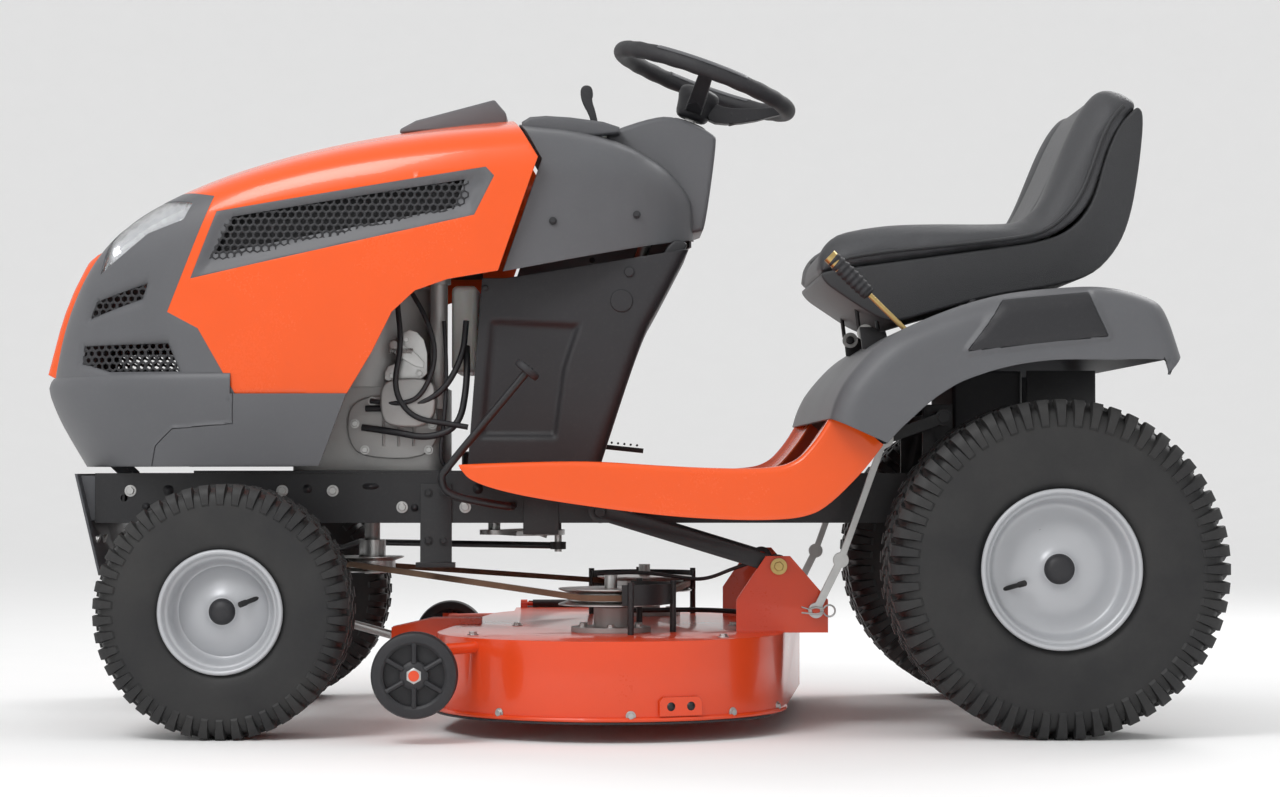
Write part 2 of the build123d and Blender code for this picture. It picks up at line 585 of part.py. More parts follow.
def deck_bracket():
    """The rear hanger plate, with the arm's bolt inside it and the lift rod's pin outside it."""
    plate = side_plate([(331, 149), (474, 149), (474, 200), (428, 268), (390, 268), (331, 200)], BRACKET_Y)
    plate += across(*ARM_END, (ARM_Y[0] - 4, BRACKET_Y[1]), 6)
    plate += across(*CLEVIS, (BRACKET_Y[0], ROD_Y[1] + 3), 6)
    return plate


def deck():
    low, high = DECK_Z
    shell = flat_plate(deck_outline(0), DECK_Z)
    shell -= flat_plate(deck_outline(-DECK_SHEET), (low - 1, high - DECK_SHEET))
    shell -= box((600, 830), (-600, -500), (low - 1, high - 14))
    for centre in (LEFT_BLADE, RIGHT_BLADE):
        shell -= upright(*centre, (high - 10, high + 10), 27 + GAP)
    nose_lug = side_plate([(880, high - DECK_SHEET), (905, 108), (1027, 108), (1027, 145), (960, 160),
                           (880, 160)], (14, 19))
    nose_pin = across(*LINK_REAR, (-19, 19), 5)
    for bracket in (deck_bracket(), nose_lug):
        shell += bracket + mirrored(bracket)
    shell += nose_pin
    y, z = DEFLECTOR_PIVOT
    for x in ((600, 612), (820, 832)):
        shell += box(x, (y - 4, -556), (high - 12, z + 3)) + along(y, z, x, 8)
    shell += along(y, z, (600, 832), 4)
    for side, gauge_y in ((1, LEFT_GAUGE_Y), (-1, RIGHT_GAUGE_Y)):
        arm_y = gauge_y - side * 29
        shell += rod((840, side * 385 - (40 if side < 0 else 0), 138), (GAUGE_X, arm_y, 134), 9)
        shell += box((GAUGE_X - 13, GAUGE_X + 13), sorted((arm_y - side * 3, arm_y + side * 3)), (88, 144))
        shell += across(GAUGE_X, GAUGE_Z, sorted((arm_y, gauge_y + side * 20)), 8)
    write("deck_shell", shell)

    housings = []
    for centre in (LEFT_BLADE, RIGHT_BLADE):
        housing = upright(*centre, (137, 188), 27) + upright(*centre, (high, high + 8), 62)
        housings.append(housing - upright(*centre, (130, 200), 10 + GAP))
    write("spindle_housings", *housings)


def blades():
    for name, centre, turn in (("left", LEFT_BLADE, 62), ("right", RIGHT_BLADE, 118)):
        bar_face = Rectangle(BLADE_LENGTH, 58) & Circle(BLADE_LENGTH / 2)
        blade = flat_plate(bar_face, (BLADE_Z, BLADE_Z + 6))
        for end in (1, -1):
            wing = Rot(end * 32, 0, 0) * Box(96, 34, 4)
            blade += Pos(end * (BLADE_LENGTH / 2 - 68), end * 22, BLADE_Z + 12) * wing
        blade = Pos(*centre) * Rot(0, 0, turn) * blade
        blade += upright(*centre, (BLADE_Z - 10, 238), 10)
        blade += Pos(*centre, PULLEY_Z) * sheave(PULLEY_R)
        blade += upright(*centre, (BLADE_Z + 6, 130), 18)
        write(f"{name}_blade", blade)


def outer_tangent(start, start_r, end, end_r):
    """Where a belt that runs counter-clockwise leaves one pulley and meets the next."""
    dx, dy = end[0] - start[0], end[1] - start[1]
    distance = math.hypot(dx, dy)
    dx, dy = dx / distance, dy / distance
    sine = (start_r - end_r) / distance
    cosine = math.sqrt(1 - sine * sine)
    nx, ny = dy * cosine + dx * sine, -dx * cosine + dy * sine
    return (start[0] + start_r * nx, start[1] + start_r * ny), (end[0] + end_r * nx, end[1] + end_r * ny)


def deck_belt():
    """A V belt over the engine's pulley and both blades' pulleys."""
    width, height = 8.0, 9.0
    stops = ((ENGINE_AXIS, ENGINE_PULLEY_R, ENGINE_PULLEY_Z), (LEFT_BLADE, PULLEY_R, PULLEY_Z),
             (RIGHT_BLADE, PULLEY_R, PULLEY_Z))
    stops = [(centre, r - BELT_DEPTH, z) for centre, r, z in stops]
    count = len(stops)
    runs = [outer_tangent(stops[i][0], stops[i][1], stops[(i + 1) % count][0], stops[(i + 1) % count][1])
            for i in range(count)]
    belt = None
    for i, (centre, r, z) in enumerate(stops):
        arrive, leave = runs[i - 1][1], runs[i][0]
        begin = math.degrees(math.atan2(arrive[1] - centre[1], arrive[0] - centre[0]))
        sweep = (math.degrees(math.atan2(leave[1] - centre[1], leave[0] - centre[0])) - begin) % 360
        arc = revolve(Plane.XZ * Pos(r, 0) * Rectangle(width, height), Axis.Z, sweep)
        arc = Pos(*centre, z) * Rot(0, 0, begin) * arc
        next_z = stops[(i + 1) % count][2]
        (x0, y0), (x1, y1) = runs[i]
        start, end = Vector(x0, y0, z), Vector(x1, y1, next_z)
        flat = Vector(y1 - y0, x0 - x1, 0).normalized()
        run = extrude(Plane(origin=start, x_dir=flat, z_dir=end - start) * Rectangle(width, height),
                      (end - start).length)
        belt = arc + run if belt is None else belt + arc + run
    write("deck_belt", belt)


def gauge_wheels():
    for name, y in (("left", LEFT_GAUGE_Y), ("right", RIGHT_GAUGE_Y)):
        half = 17.0
        section = [(-half, 8 + GAP), (-half, 22), (-7, 26), (-7, 46), (-half, 50), (-half, GAUGE_R - 5),
                   (-half + 5, GAUGE_R), (half - 5, GAUGE_R), (half, GAUGE_R - 5), (half, 50), (7, 46),
                   (7, 26), (half, 22), (half, 8 + GAP)]
        write(f"{name}_gauge_wheel", turned(section, GAUGE_X, y, GAUGE_Z))


def deflector():
    y, z = DEFLECTOR_PIVOT
    tube = along(y, z, (622, 810), 8) - along(y, z, (600, 832), 4 + GAP)
    outline = [(y, z + 6), (y - 70, z - 6), (y - 186, z - 70), (y - 188, z - 76), (y - 70, z - 11),
               (y, z + 1)]
    plane = Plane(origin=(606, 0, 0), x_dir=(0, 1, 0), z_dir=(1, 0, 0))
    flap = extrude(plane * make_face(Polyline(*outline, close=True)), 220)
    flap -= along(y, z, (600, 832), 4 + GAP)
    flap -= box((590, 614), (y - 14, y + 20), (z - 20, z + 20))
    flap -= box((818, 840), (y - 14, y + 20), (z - 20, z + 20))
    side = [(y - 20, z + 2), (y - 70, z - 8), (y - 184, z - 72), (y - 184, z - 100), (y - 24, z - 100)]
    gusset = extrude(Plane(origin=(606, 0, 0), x_dir=(0, 1, 0), z_dir=(1, 0, 0))
                     * make_face(Polyline(*side, close=True)), 4)
    write("discharge_deflector", tube + flap + gusset + Pos(216, 0, 0) * gusset)


# ---- deck lift ----------------------------------------------------------------------------
def deck_lift():
    arm = bar(ARM_PIVOT, ARM_END, ARM_Y, 13, 18)
    arm -= across(*ARM_PIVOT, (ARM_Y[0] - 1, ARM_Y[1] + 1), 8 + GAP)
    arm -= across(*ARM_END, (ARM_Y[0] - 1, ARM_Y[1] + 1), 6 + OPEN_PIN)
    write("lift_arms", arm, mirrored(arm))

    bend = (312.0, 262.0)
    lifter = bar(CLEVIS, bend, ROD_Y, 6, 12) + bar(bend, LIFT_TIP, ROD_Y, 5)
    lifter += bar(LIFT_TIP, SLOT_END, ROD_Y, 14, 14)
    lifter -= bar(LIFT_TIP, SLOT_END, (ROD_Y[0] - 1, ROD_Y[1] + 1), 6 + SLOT_PLAY, 6 + SLOT_PLAY)
    lifter -= across(*CLEVIS, (ROD_Y[0] - 1, ROD_Y[1] + 1), 6 + GAP)
    write("lift_rods", lifter, mirrored(lifter))

    x, z = LIFT_SHAFT
    shaft = across(x, z, (-338, 258), 9)
    for side in (1, -1):
        shaft += bar(LIFT_SHAFT, LIFT_TIP, sorted((side * 248, side * 256)), 9, 13)
        shaft += across(*LIFT_TIP, sorted((side * 248, side * 276)), 6)
    write("lift_shaft", shaft)
    lean = math.radians(14.5)
    top = (x + 300 * math.sin(lean), z + 300 * math.cos(lean))
    knee = (x + 218 * math.sin(lean), z + 218 * math.cos(lean))
    lever = side_plate([(x - 10, z), (x + 10, z), (knee[0] + 8, knee[1]), (knee[0] - 8, knee[1])],
                       (-333, -327))
    lever += across(x, z, (-336, -324), 13)
    lever += rod((knee[0], -330, knee[1]), (top[0], -330, top[1]), 13)
    lever -= across(x, z, (-340, -320), 9)
    write("lift_lever", lever)

    slope = (LINK_FRONT[1] - LINK_REAR[1]) / (LINK_FRONT[0] - LINK_REAR[0])
    link = rod((LINK_REAR[0] + 10, 0, LINK_REAR[1] + 10 * slope),
               (LINK_FRONT[0] - 10, 0, LINK_FRONT[1] - 10 * slope), 7)
    link += across(*LINK_FRONT, (-9, 9), 12) + across(*LINK_REAR, (-11, 11), 15)
    link -= across(*LINK_FRONT, (-10, 10), 5 + GAP)
    link -= across(*LINK_REAR, (-12, 12), 5 + OPEN_PIN)
    write("front_link", link)


def main():
    wheels()
    frame_rails()
    crossmembers()
    frame_brackets()
    front_bracket()
    front_axle()
    steering_links()
    steering_sector()
    steering_column()
    transaxle()
    engine()
    engine_pulley()
    fuel_tank()
    hood()
    dash_cover()
    console()
    footrest()
    fender()
    rear_frame()
    controls()
    seat()
    deck()
    blades()
    deck_belt()
    gauge_wheels()
    deflector()
    deck_lift()


main()
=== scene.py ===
import bpy
import bmesh
import json
import math
from mathutils import Vector, Matrix

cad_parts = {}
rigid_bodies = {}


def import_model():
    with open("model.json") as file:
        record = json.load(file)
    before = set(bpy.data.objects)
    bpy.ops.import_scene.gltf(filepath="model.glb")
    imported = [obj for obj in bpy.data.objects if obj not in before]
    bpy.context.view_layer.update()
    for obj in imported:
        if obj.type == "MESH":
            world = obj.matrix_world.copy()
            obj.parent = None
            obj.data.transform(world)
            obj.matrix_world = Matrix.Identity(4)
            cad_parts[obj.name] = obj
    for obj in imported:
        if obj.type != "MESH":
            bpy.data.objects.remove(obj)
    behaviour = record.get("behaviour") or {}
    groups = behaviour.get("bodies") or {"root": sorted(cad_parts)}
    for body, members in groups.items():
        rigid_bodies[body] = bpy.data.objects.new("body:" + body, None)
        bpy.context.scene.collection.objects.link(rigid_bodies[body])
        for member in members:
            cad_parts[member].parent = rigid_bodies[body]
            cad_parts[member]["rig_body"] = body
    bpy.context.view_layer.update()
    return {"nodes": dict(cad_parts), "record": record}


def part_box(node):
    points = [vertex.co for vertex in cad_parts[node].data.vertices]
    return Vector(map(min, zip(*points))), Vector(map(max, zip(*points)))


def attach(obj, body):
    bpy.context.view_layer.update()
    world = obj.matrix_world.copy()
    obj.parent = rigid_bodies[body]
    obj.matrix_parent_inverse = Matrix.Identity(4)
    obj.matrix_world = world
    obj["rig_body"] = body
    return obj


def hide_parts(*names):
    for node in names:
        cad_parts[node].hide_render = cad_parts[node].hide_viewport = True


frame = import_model()
cadNodes = frame["nodes"]

# Drawing coordinates, in millimetres: x forward from the rear axle, y to the driver's left of
# the centre plane, z up from the ground.
rearLow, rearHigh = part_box("rear_left_rim")
farLow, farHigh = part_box("rear_right_rim")
axleX = (rearLow.x + rearHigh.x) / 2
midY = (rearLow.y + rearHigh.y + farLow.y + farHigh.y) / 4
mm = 0.001


def at(x, y, z):
    return Vector((axleX + x * mm, midY + y * mm, z * mm))


def centreOf(node):
    low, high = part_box(node)
    return (low + high) / 2


# Shader maths: an expression on wires adds the Math nodes.
class Wire:
    def __init__(self, paint, socket):
        self.paint = paint
        self.socket = socket

    def join(self, operation, other, swap=False):
        first, second = (other, self) if swap else (self, other)
        return self.paint.node("ShaderNodeMath", {"operation": operation}, {0: first, 1: second})

    def __add__(self, other):
        return self.join("ADD", other)

    def __sub__(self, other):
        return self.join("SUBTRACT", other)

    def __rsub__(self, other):
        return self.join("SUBTRACT", other, True)

    def __mul__(self, other):
        return self.join("MULTIPLY", other)

    def __gt__(self, other):
        return self.join("GREATER_THAN", other)

    __radd__ = __add__
    __rmul__ = __mul__


class Paint:
    def __init__(self, name):
        self.material = bpy.data.materials.new(name)
        self.material.use_nodes = True
        self.tree = self.material.node_tree
        self.tree.nodes.clear()

    def node(self, kind, settings=None, sockets=None, out=0):
        made = self.tree.nodes.new(kind)
        for key, value in (settings or {}).items():
            if key == "stops":
                while len(made.color_ramp.elements) < len(value):
                    made.color_ramp.elements.new(0.5)
                for element, (place, shade) in zip(made.color_ramp.elements, value):
                    element.position = place
                    element.color = (shade, shade, shade, 1)
            else:
                setattr(made, key, value)
        for key, value in (sockets or {}).items():
            if isinstance(value, Wire):
                self.tree.links.new(value.socket, made.inputs[key])
            else:
                made.inputs[key].default_value = value
        return Wire(self, made.outputs[out]) if len(made.outputs) else None

    def place(self, stretch=(1, 1, 1)):
        spot = self.node("ShaderNodeTexCoord", out="Object")
        return self.node("ShaderNodeMapping", None, {"Vector": spot, "Scale": stretch})

    def noise(self, scale, detail=3.0, rough=0.5, stretch=(1, 1, 1)):
        sockets = {"Vector": self.place(stretch), "Scale": scale, "Detail": detail, "Roughness": rough}
        return self.node("ShaderNodeTexNoise", None, sockets)

    def cells(self, scale, feature="F1", out="Distance", stretch=(1, 1, 1)):
        sockets = {"Vector": self.place(stretch), "Scale": scale}
        return self.node("ShaderNodeTexVoronoi", {"feature": feature}, sockets, out)

    def ramp(self, value, *stops):
        return self.node("ShaderNodeValToRGB", {"stops": stops}, {"Fac": value})

    def blend(self, factor, first, second):
        sockets = {0: factor, 6: first, 7: second}
        return self.node("ShaderNodeMix", {"data_type": "RGBA", "clamp_factor": True}, sockets, 2)

    def relief(self, height, depth, round=0.0):
        sockets = {"Height": height, "Strength": 1.0, "Distance": depth}
        if round:
            sockets["Normal"] = self.node("ShaderNodeBevel", {"samples": 3}, {"Radius": round})
        return self.node("ShaderNodeBump", None, sockets)

    def finish(self, color, roughness, normal, fixed):
        sockets = {"Base Color": color, "Roughness": roughness, "Normal": normal}
        sockets.update(fixed)
        shader = self.node("ShaderNodeBsdfPrincipled", None, sockets)
        self.node("ShaderNodeOutputMaterial", None, {"Surface": shader})
        return self.material


def rgb(r, g, b):
    return (r, g, b, 1.0)


def shade(color, factor):
    return (color[0] * factor, color[1] * factor, color[2] * factor, 1.0)


# A moulded or painted surface: broad colour drift, fine grain, and rounded-looking edges.
def coated(name, color, look):
    paint = Paint(name)
    broad = paint.noise(look.get("driftScale", 6.0), 4.0, 0.6)
    fine = paint.noise(look.get("grainScale", 700.0), 2.0, 0.6)
    drift = look.get("drift", 0.08)
    tone = paint.blend(paint.ramp(broad, (0.3, 0.0), (0.7, 1.0)), shade(color, 1 - drift),
                       shade(color, 1 + drift))
    specks = paint.ramp(paint.noise(look.get("dustScale", 160.0), 6.0, 0.7), (0.52, 0.0), (0.75, 1.0))
    tone = paint.blend(specks * look.get("dust", 0.05), tone, look.get("dustColor", rgb(0.3, 0.29, 0.27)))
    spread = look.get("roughSpread", 0.1)
    rough = broad * spread + fine * 0.04 + (look["rough"] - spread / 2)
    normal = paint.relief(fine, look.get("grain", 0.00004), look.get("edge", 0.0015))
    return paint.finish(tone, rough, normal, look.get("fixed", {}))


orangeColor = rgb(0.86, 0.095, 0.006)
greyColor = rgb(0.105, 0.107, 0.115)
gloss = {"Coat Weight": 0.35, "Coat Roughness": 0.06, "IOR": 1.45}

orangeGloss = coated("orange_moulding", orangeColor,
                     {"rough": 0.24, "grain": 0.000012, "grainScale": 260, "drift": 0.03, "dust": 0.01,
                      "fixed": gloss})
greySatin = coated("grey_moulding", greyColor, {"rough": 0.46, "grain": 0.00005, "drift": 0.06, "dust": 0.04})
blackGrain = coated("black_moulding", rgb(0.017, 0.017, 0.02),
                    {"rough": 0.48, "grain": 0.00012, "grainScale": 900, "drift": 0.12, "dust": 0.03})
frameBlack = coated("frame_paint", rgb(0.013, 0.013, 0.015),
                    {"rough": 0.36, "grain": 0.00005, "grainScale": 300, "drift": 0.1, "dust": 0.04,
                     "edge": 0.001})
plateGrey = coated("bracket_paint", rgb(0.075, 0.077, 0.085), {"rough": 0.42, "grain": 0.00005, "drift": 0.08})
deckRed = coated("deck_paint", rgb(0.76, 0.065, 0.012),
                 {"rough": 0.27, "grain": 0.00003, "grainScale": 220, "drift": 0.05, "dust": 0.02,
                  "fixed": gloss})
rimSilver = coated("rim_paint", rgb(0.47, 0.48, 0.50),
                   {"rough": 0.36, "grain": 0.00003, "drift": 0.04, "dust": 0.03, "fixed": {"Metallic": 0.25}})
tankWhite = coated("tank_plastic", rgb(0.72, 0.72, 0.68),
                   {"rough": 0.5, "drift": 0.04, "fixed": {"Subsurface Weight": 0.15}})
gripBlack = coated("soft_grip", rgb(0.02, 0.02, 0.023), {"rough": 0.6, "grain": 0.0002, "grainScale": 1100})


def metal(name, color, rough, grain=0.00003, scratch=1.0, edge=0.0008):
    paint = Paint(name)
    streaks = paint.noise(90, 6, 0.7, (1, 1, 8 * scratch))
    broad = paint.noise(14, 4, 0.6)
    tone = paint.blend(paint.ramp(broad, (0.35, 0.0), (0.68, 1.0)), shade(color, 0.82), shade(color, 1.06))
    return paint.finish(tone, streaks * 0.22 + (rough - 0.1), paint.relief(streaks, grain, edge),
                        {"Metallic": 0.9})


zincSteel = metal("zinc_steel", rgb(0.55, 0.55, 0.54), 0.34)
brassZinc = metal("yellow_zinc", rgb(0.55, 0.40, 0.16), 0.34)
chrome = metal("reflector_chrome", rgb(0.82, 0.83, 0.85), 0.16)


def castAlloy():
    paint = Paint("cast_alloy")
    sand = paint.noise(420, 5, 0.7)
    broad = paint.noise(12, 4, 0.6)
    tone = paint.blend(broad, rgb(0.30, 0.30, 0.30), rgb(0.46, 0.455, 0.44))
    return paint.finish(tone, sand * 0.25 + 0.36, paint.relief(sand, 0.00025, 0.002), {"Metallic": 0.55})


def tyreRubber():
    paint = Paint("tyre_rubber")
    mould = paint.noise(160, 5, 0.65)
    broad = paint.noise(9, 5, 0.6)
    tone = paint.blend(paint.ramp(broad, (0.35, 0.0), (0.7, 1.0)), rgb(0.013, 0.013, 0.014),
                       rgb(0.026, 0.0255, 0.025))
    return paint.finish(tone, mould * 0.2 + 0.46, paint.relief(mould, 0.00018), {"Specular IOR Level": 0.45})


def seatVinyl(name, color):
    paint = Paint(name)
    pores = paint.cells(420, "DISTANCE_TO_EDGE")
    folds = paint.noise(240, 4, 0.6)
    broad = paint.noise(5, 3, 0.5)
    tone = paint.blend(paint.ramp(broad, (0.3, 0.0), (0.7, 1.0)), shade(color, 0.9), shade(color, 1.1))
    # The cell edges, which the bump below sinks into grooves, are darkened: painted shade in the grain's
    # grooves.
    tone = paint.blend(paint.ramp(pores, (0.0, 1.0), (0.12, 0.0)) * 0.35, tone, shade(color, 0.45))
    height = paint.ramp(pores, (0.0, 0.0), (0.16, 1.0)) * 0.7 + folds * 0.5
    rough = folds * 0.14 + 0.42
    return paint.finish(tone, rough, paint.relief(height, 0.00022), {"Sheen Weight": 0.05})


def beltCloth():
    paint = Paint("belt_cover")
    weave = paint.node("ShaderNodeTexWave", {"bands_direction": "DIAGONAL"},
                       {"Vector": paint.place(), "Scale": 400.0})
    broad = paint.noise(30, 4, 0.6)
    tone = paint.blend(broad, rgb(0.10, 0.055, 0.03), rgb(0.20, 0.125, 0.075))
    return paint.finish(tone, broad * 0.1 + 0.75, paint.relief(weave, 0.0001), {"Sheen Weight": 0.2})


def clearLens():
    paint = Paint("lamp_lens")
    ripple = paint.noise(60, 2, 0.5)
    haze = paint.noise(12, 3, 0.5)
    tone = paint.blend(haze, rgb(0.93, 0.95, 0.97), rgb(1, 1, 1))
    fixed = {"Transmission Weight": 0.95, "IOR": 1.35, "Alpha": 0.55}
    return paint.finish(tone, haze * 0.04 + 0.02, paint.relief(ripple, 0.0002), fixed)


alloy = castAlloy()
rubber = tyreRubber()
vinyl = seatVinyl("seat_vinyl", rgb(0.052, 0.053, 0.058))
vinylDark = seatVinyl("seat_vinyl_dark", rgb(0.03, 0.031, 0.034))
beltBrown = beltCloth()
lens = clearLens()
print("materials made")

slotPaint = {
    "tyre_rubber": rubber, "rim_paint": rimSilver, "frame_paint": frameBlack, "bracket_paint": plateGrey,
    "steel": zincSteel, "cast_alloy": alloy, "black_plastic": blackGrain, "grey_moulding": greySatin,
    "orange_moulding": orangeGloss, "deck_paint": deckRed, "tank_plastic": tankWhite, "lamp_lens": lens,
    "seat_vinyl": vinyl, "belt_rubber": beltBrown, "brass_rod": brassZinc,
}
slotOf = {part["node"]: part["material_slot"] for part in frame["record"]["subparts"]}
for name, node in cadNodes.items():
    node.data.materials.clear()
    node.data.materials.append(slotPaint[slotOf[name]])


# Mesh helpers.
def place(name, mesh, body, slot, material, sharp=35, hides=()):
    piece = bpy.data.objects.new(name, mesh)
    bpy.context.scene.collection.objects.link(piece)
    mesh.materials.clear()
    mesh.materials.append(material)
    mesh.polygons.foreach_set("use_smooth", [True] * len(mesh.polygons))
    mesh.set_sharp_from_angle(angle=math.radians(sharp))
    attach(piece, body)
    if hides:
        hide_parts(*hides)
    return piece


def fromForm(form, name):
    bmesh.ops.recalc_face_normals(form, faces=form.faces)
    mesh = bpy.data.meshes.new(name)
    form.to_mesh(mesh)
    form.free()
    return mesh


# Corner cutting: rounds an open or closed outline.
def soften(points, rounds=2, closed=False):
    for _ in range(rounds):
        cut = [] if closed else [points[0]]
        pairs = list(zip(points, points[1:] + points[:1])) if closed else list(zip(points, points[1:]))
        for p, q in pairs:
            cut.append(tuple(a * 0.75 + b * 0.25 for a, b in zip(p, q)))
            cut.append(tuple(a * 0.25 + b * 0.75 for a, b in zip(p, q)))
        if not closed:
            cut.append(points[-1])
        points = cut
    return points


# A solid turned about the lateral line through centre, from a closed (lateral, radius) outline.
def addTurned(form, outline, centre, steps=96, axis="Y"):
    rings = []
    for i in range(steps):
        turn = 2 * math.pi * i / steps
        ring = []
        for side, radius in outline:
            if axis == "Y":
                offset = Vector((radius * math.sin(turn), side, radius * math.cos(turn)))
            elif axis == "Z":
                offset = Vector((radius * math.cos(turn), radius * math.sin(turn), side))
            else:
                offset = Vector((side, radius * math.cos(turn), radius * math.sin(turn)))
            ring.append(form.verts.new(centre + offset * mm))
        rings.append(ring)
    count = len(outline)
    for i in range(steps):
        ring, after = rings[i], rings[(i + 1) % steps]
        for j in range(count):
            k = (j + 1) % count
            form.faces.new((ring[j], ring[k], after[k], after[j]))


# Closes the space between two matching outlines.
def addPrism(form, near, far):
    near, far = [form.verts.new(spot) for spot in near], [form.verts.new(spot) for spot in far]
    form.faces.new(near)
    form.faces.new(list(reversed(far)))
    for k in range(len(near)):
        n = (k + 1) % len(near)
        form.faces.new((near[n], near[k], far[k], far[n]))


def turned(name, outline, centre, body, slot, material, steps=96, axis="Y", hides=()):
    form = bmesh.new()
    addTurned(form, outline, centre, steps, axis)
    return place(name, fromForm(form, name), body, slot, material, hides=hides)


# A round bar along a smooth route, with closed ends.
def addTube(form, points, radius, sides=12, flat=1.0):
    points = [Vector(p) for p in points]
    rings = []
    across = None
    for i, point in enumerate(points):
        ahead = points[min(i + 1, len(points) - 1)] - points[max(i - 1, 0)]
        ahead.normalize()
        if across is None:
            across = ahead.orthogonal().normalized()
        across = (across - ahead * across.dot(ahead)).normalized()
        up = ahead.cross(across)
        ring = []
        for k in range(sides):
            turn = 2 * math.pi * k / sides
            offset = across * math.cos(turn) + up * math.sin(turn) * flat
            ring.append(form.verts.new(point + offset * radius * mm))
        rings.append(ring)
    for ring, after in zip(rings, rings[1:]):
        for k in range(sides):
            form.faces.new((ring[k], ring[(k + 1) % sides], after[(k + 1) % sides], after[k]))
    form.faces.new(rings[0])
    form.faces.new(list(reversed(rings[-1])))


def tube(name, route, radius, body, slot, material, rounds=3, sides=12):
    form = bmesh.new()
    addTube(form, [at(*p) for p in soften(route, rounds)], radius, sides)
    return place(name, fromForm(form, name), body, slot, material)


# A hexagon-headed bolt with a washer; out is the direction it faces.
def addBolt(form, spot, out, size=8.0, washer=True):
    out = Vector(out).normalized()
    side = out.orthogonal().normalized()
    up = out.cross(side)

    def stack(radius, low, high, sides, shrink=0.0):
        rings = []
        for depth, r in ((low, radius), (high - shrink, radius), (high, radius - shrink)):
            ring = []
            for k in range(sides):
                turn = 2 * math.pi * k / sides
                offset = side * math.cos(turn) * r + up * math.sin(turn) * r + out * depth
                ring.append(form.verts.new(spot + offset * mm))
            rings.append(ring)
        for ring, after in zip(rings, rings[1:]):
            for k in range(sides):
                form.faces.new((ring[k], ring[(k + 1) % sides], after[(k + 1) % sides], after[k]))
        form.faces.new(rings[0])
        form.faces.new(list(reversed(rings[-1])))

    if washer:
        stack(size * 1.25, -1.0, size * 0.18, 24, size * 0.05)
    stack(size * 0.88, -1.0, size * 0.75, 6, size * 0.1)


def bolts(name, spots, body, size=8.0, material=None, washer=True):
    form = bmesh.new()
    for spot, out in spots:
        addBolt(form, at(*spot), out, size, washer)
    return place(name, fromForm(form, name), body, "steel", material or zincSteel)


# A copy of a CAD piece with its hard edges rounded.
def rounded(node, width=1.5, segments=2, angle=28):
    form = bmesh.new()
    form.from_mesh(cadNodes[node].data)
    bmesh.ops.remove_doubles(form, verts=form.verts, dist=0.00002)
    bmesh.ops.dissolve_limit(form, angle_limit=math.radians(0.6), verts=form.verts, edges=form.edges)
    edges = [e for e in form.edges if len(e.link_faces) == 2 and e.calc_face_angle(0) > math.radians(angle)]
    bmesh.ops.bevel(form, geom=edges, offset=width * mm, segments=segments, profile=0.5, affect="EDGES",
                    clamp_overlap=True)
    slot = slotOf[node]
    return place(node + "_finish", fromForm(form, node + "_finish"), cadNodes[node]["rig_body"], slot,
                 slotPaint[slot], hides=(node,))


# Wheels.
wheelSizes = {
    "rear": {"blocks": 56, "rows": (-0.5, -0.17, 0.17, 0.5), "shoulder": 40, "lift": 6.0, "holes": True},
    "front": {"blocks": 46, "rows": (-0.42, 0.0, 0.42), "shoulder": 30, "lift": 5.0, "holes": False},
}


def tyreOutline(half, outer, bead):
    wall = outer - bead
    shape = [(0.84, 0.0), (0.90, 0.03), (0.97, 0.14), (1.0, 0.30), (1.0, 0.48), (0.985, 0.66), (0.95, 0.80),
             (0.86, 0.90), (0.62, 0.95), (0.3, 0.965)]
    right = soften([(half * u, bead + wall * r) for u, r in shape], 2)
    inner = [(-half * 0.7, bead + 2), (half * 0.7, bead + 2)]
    return right + [(-u, r) for u, r in reversed(right)] + inner


def addTread(form, centre, half, outer, look):
    blocks, lift = look["blocks"], look["lift"]
    pitch = 2 * math.pi / blocks

    def spot(side, radius, turn):
        return form.verts.new(centre + Vector((radius * math.sin(turn), side, radius * math.cos(turn))) * mm)

    drop = look["shoulder"]
    path = [(0.985, outer - drop), (0.965, outer - drop * 0.6), (0.92, outer - drop * 0.3),
            (0.84, outer - drop * 0.12), (0.70, outer - lift)]
    for i in range(blocks):
        for sign in (1, -1):
            turn = pitch * (i + (0.5 if sign < 0 else 0))
            rings = []
            for j, (u, radius) in enumerate(path):
                side = sign * half * u
                outX = 0.95 - 0.22 * j
                width = pitch * (0.27 + 0.03 * j)
                rise = lift * (0.5 if j == 0 else 1.0)
                lowSide, lowR = side - sign * 3 * outX, radius - 5
                topSide, topR = side + sign * rise * outX * 0.75, radius + rise * (0.45 + 0.14 * j)
                topR = min(topR, outer)
                rings.append((spot(lowSide, lowR, turn - width), spot(topSide, topR, turn - width * 0.8),
                              spot(topSide, topR, turn + width * 0.8), spot(lowSide, lowR, turn + width)))
            for ring, after in zip(rings, rings[1:]):
                for k in range(3):
                    form.faces.new((ring[k], ring[k + 1], after[k + 1], after[k]))
            form.faces.new(rings[0])
            form.faces.new(list(reversed(rings[-1])))
    for row, u in enumerate(look["rows"]):
        for i in range(blocks):
            turn = pitch * (i + 0.25 + 0.5 * (row % 2))
            wide, long = half * 0.125, pitch * 0.30
            skew = 0.25 * pitch * (1 if u > 0 else -1)
            corners = []
            for radius, grow in ((outer - lift - 6, 1.0), (outer - abs(u) * 1.5, 0.82)):
                for du, dt in ((-1, -1), (1, -1), (1, 1), (-1, 1)):
                    corners.append(spot(half * u + du * wide * grow, radius,
                                        turn + dt * long * grow + du * skew * 0.5))
            form.faces.new(corners[4:])
            for k in range(4):
                form.faces.new((corners[k], corners[(k + 1) % 4], corners[4 + (k + 1) % 4], corners[4 + k]))


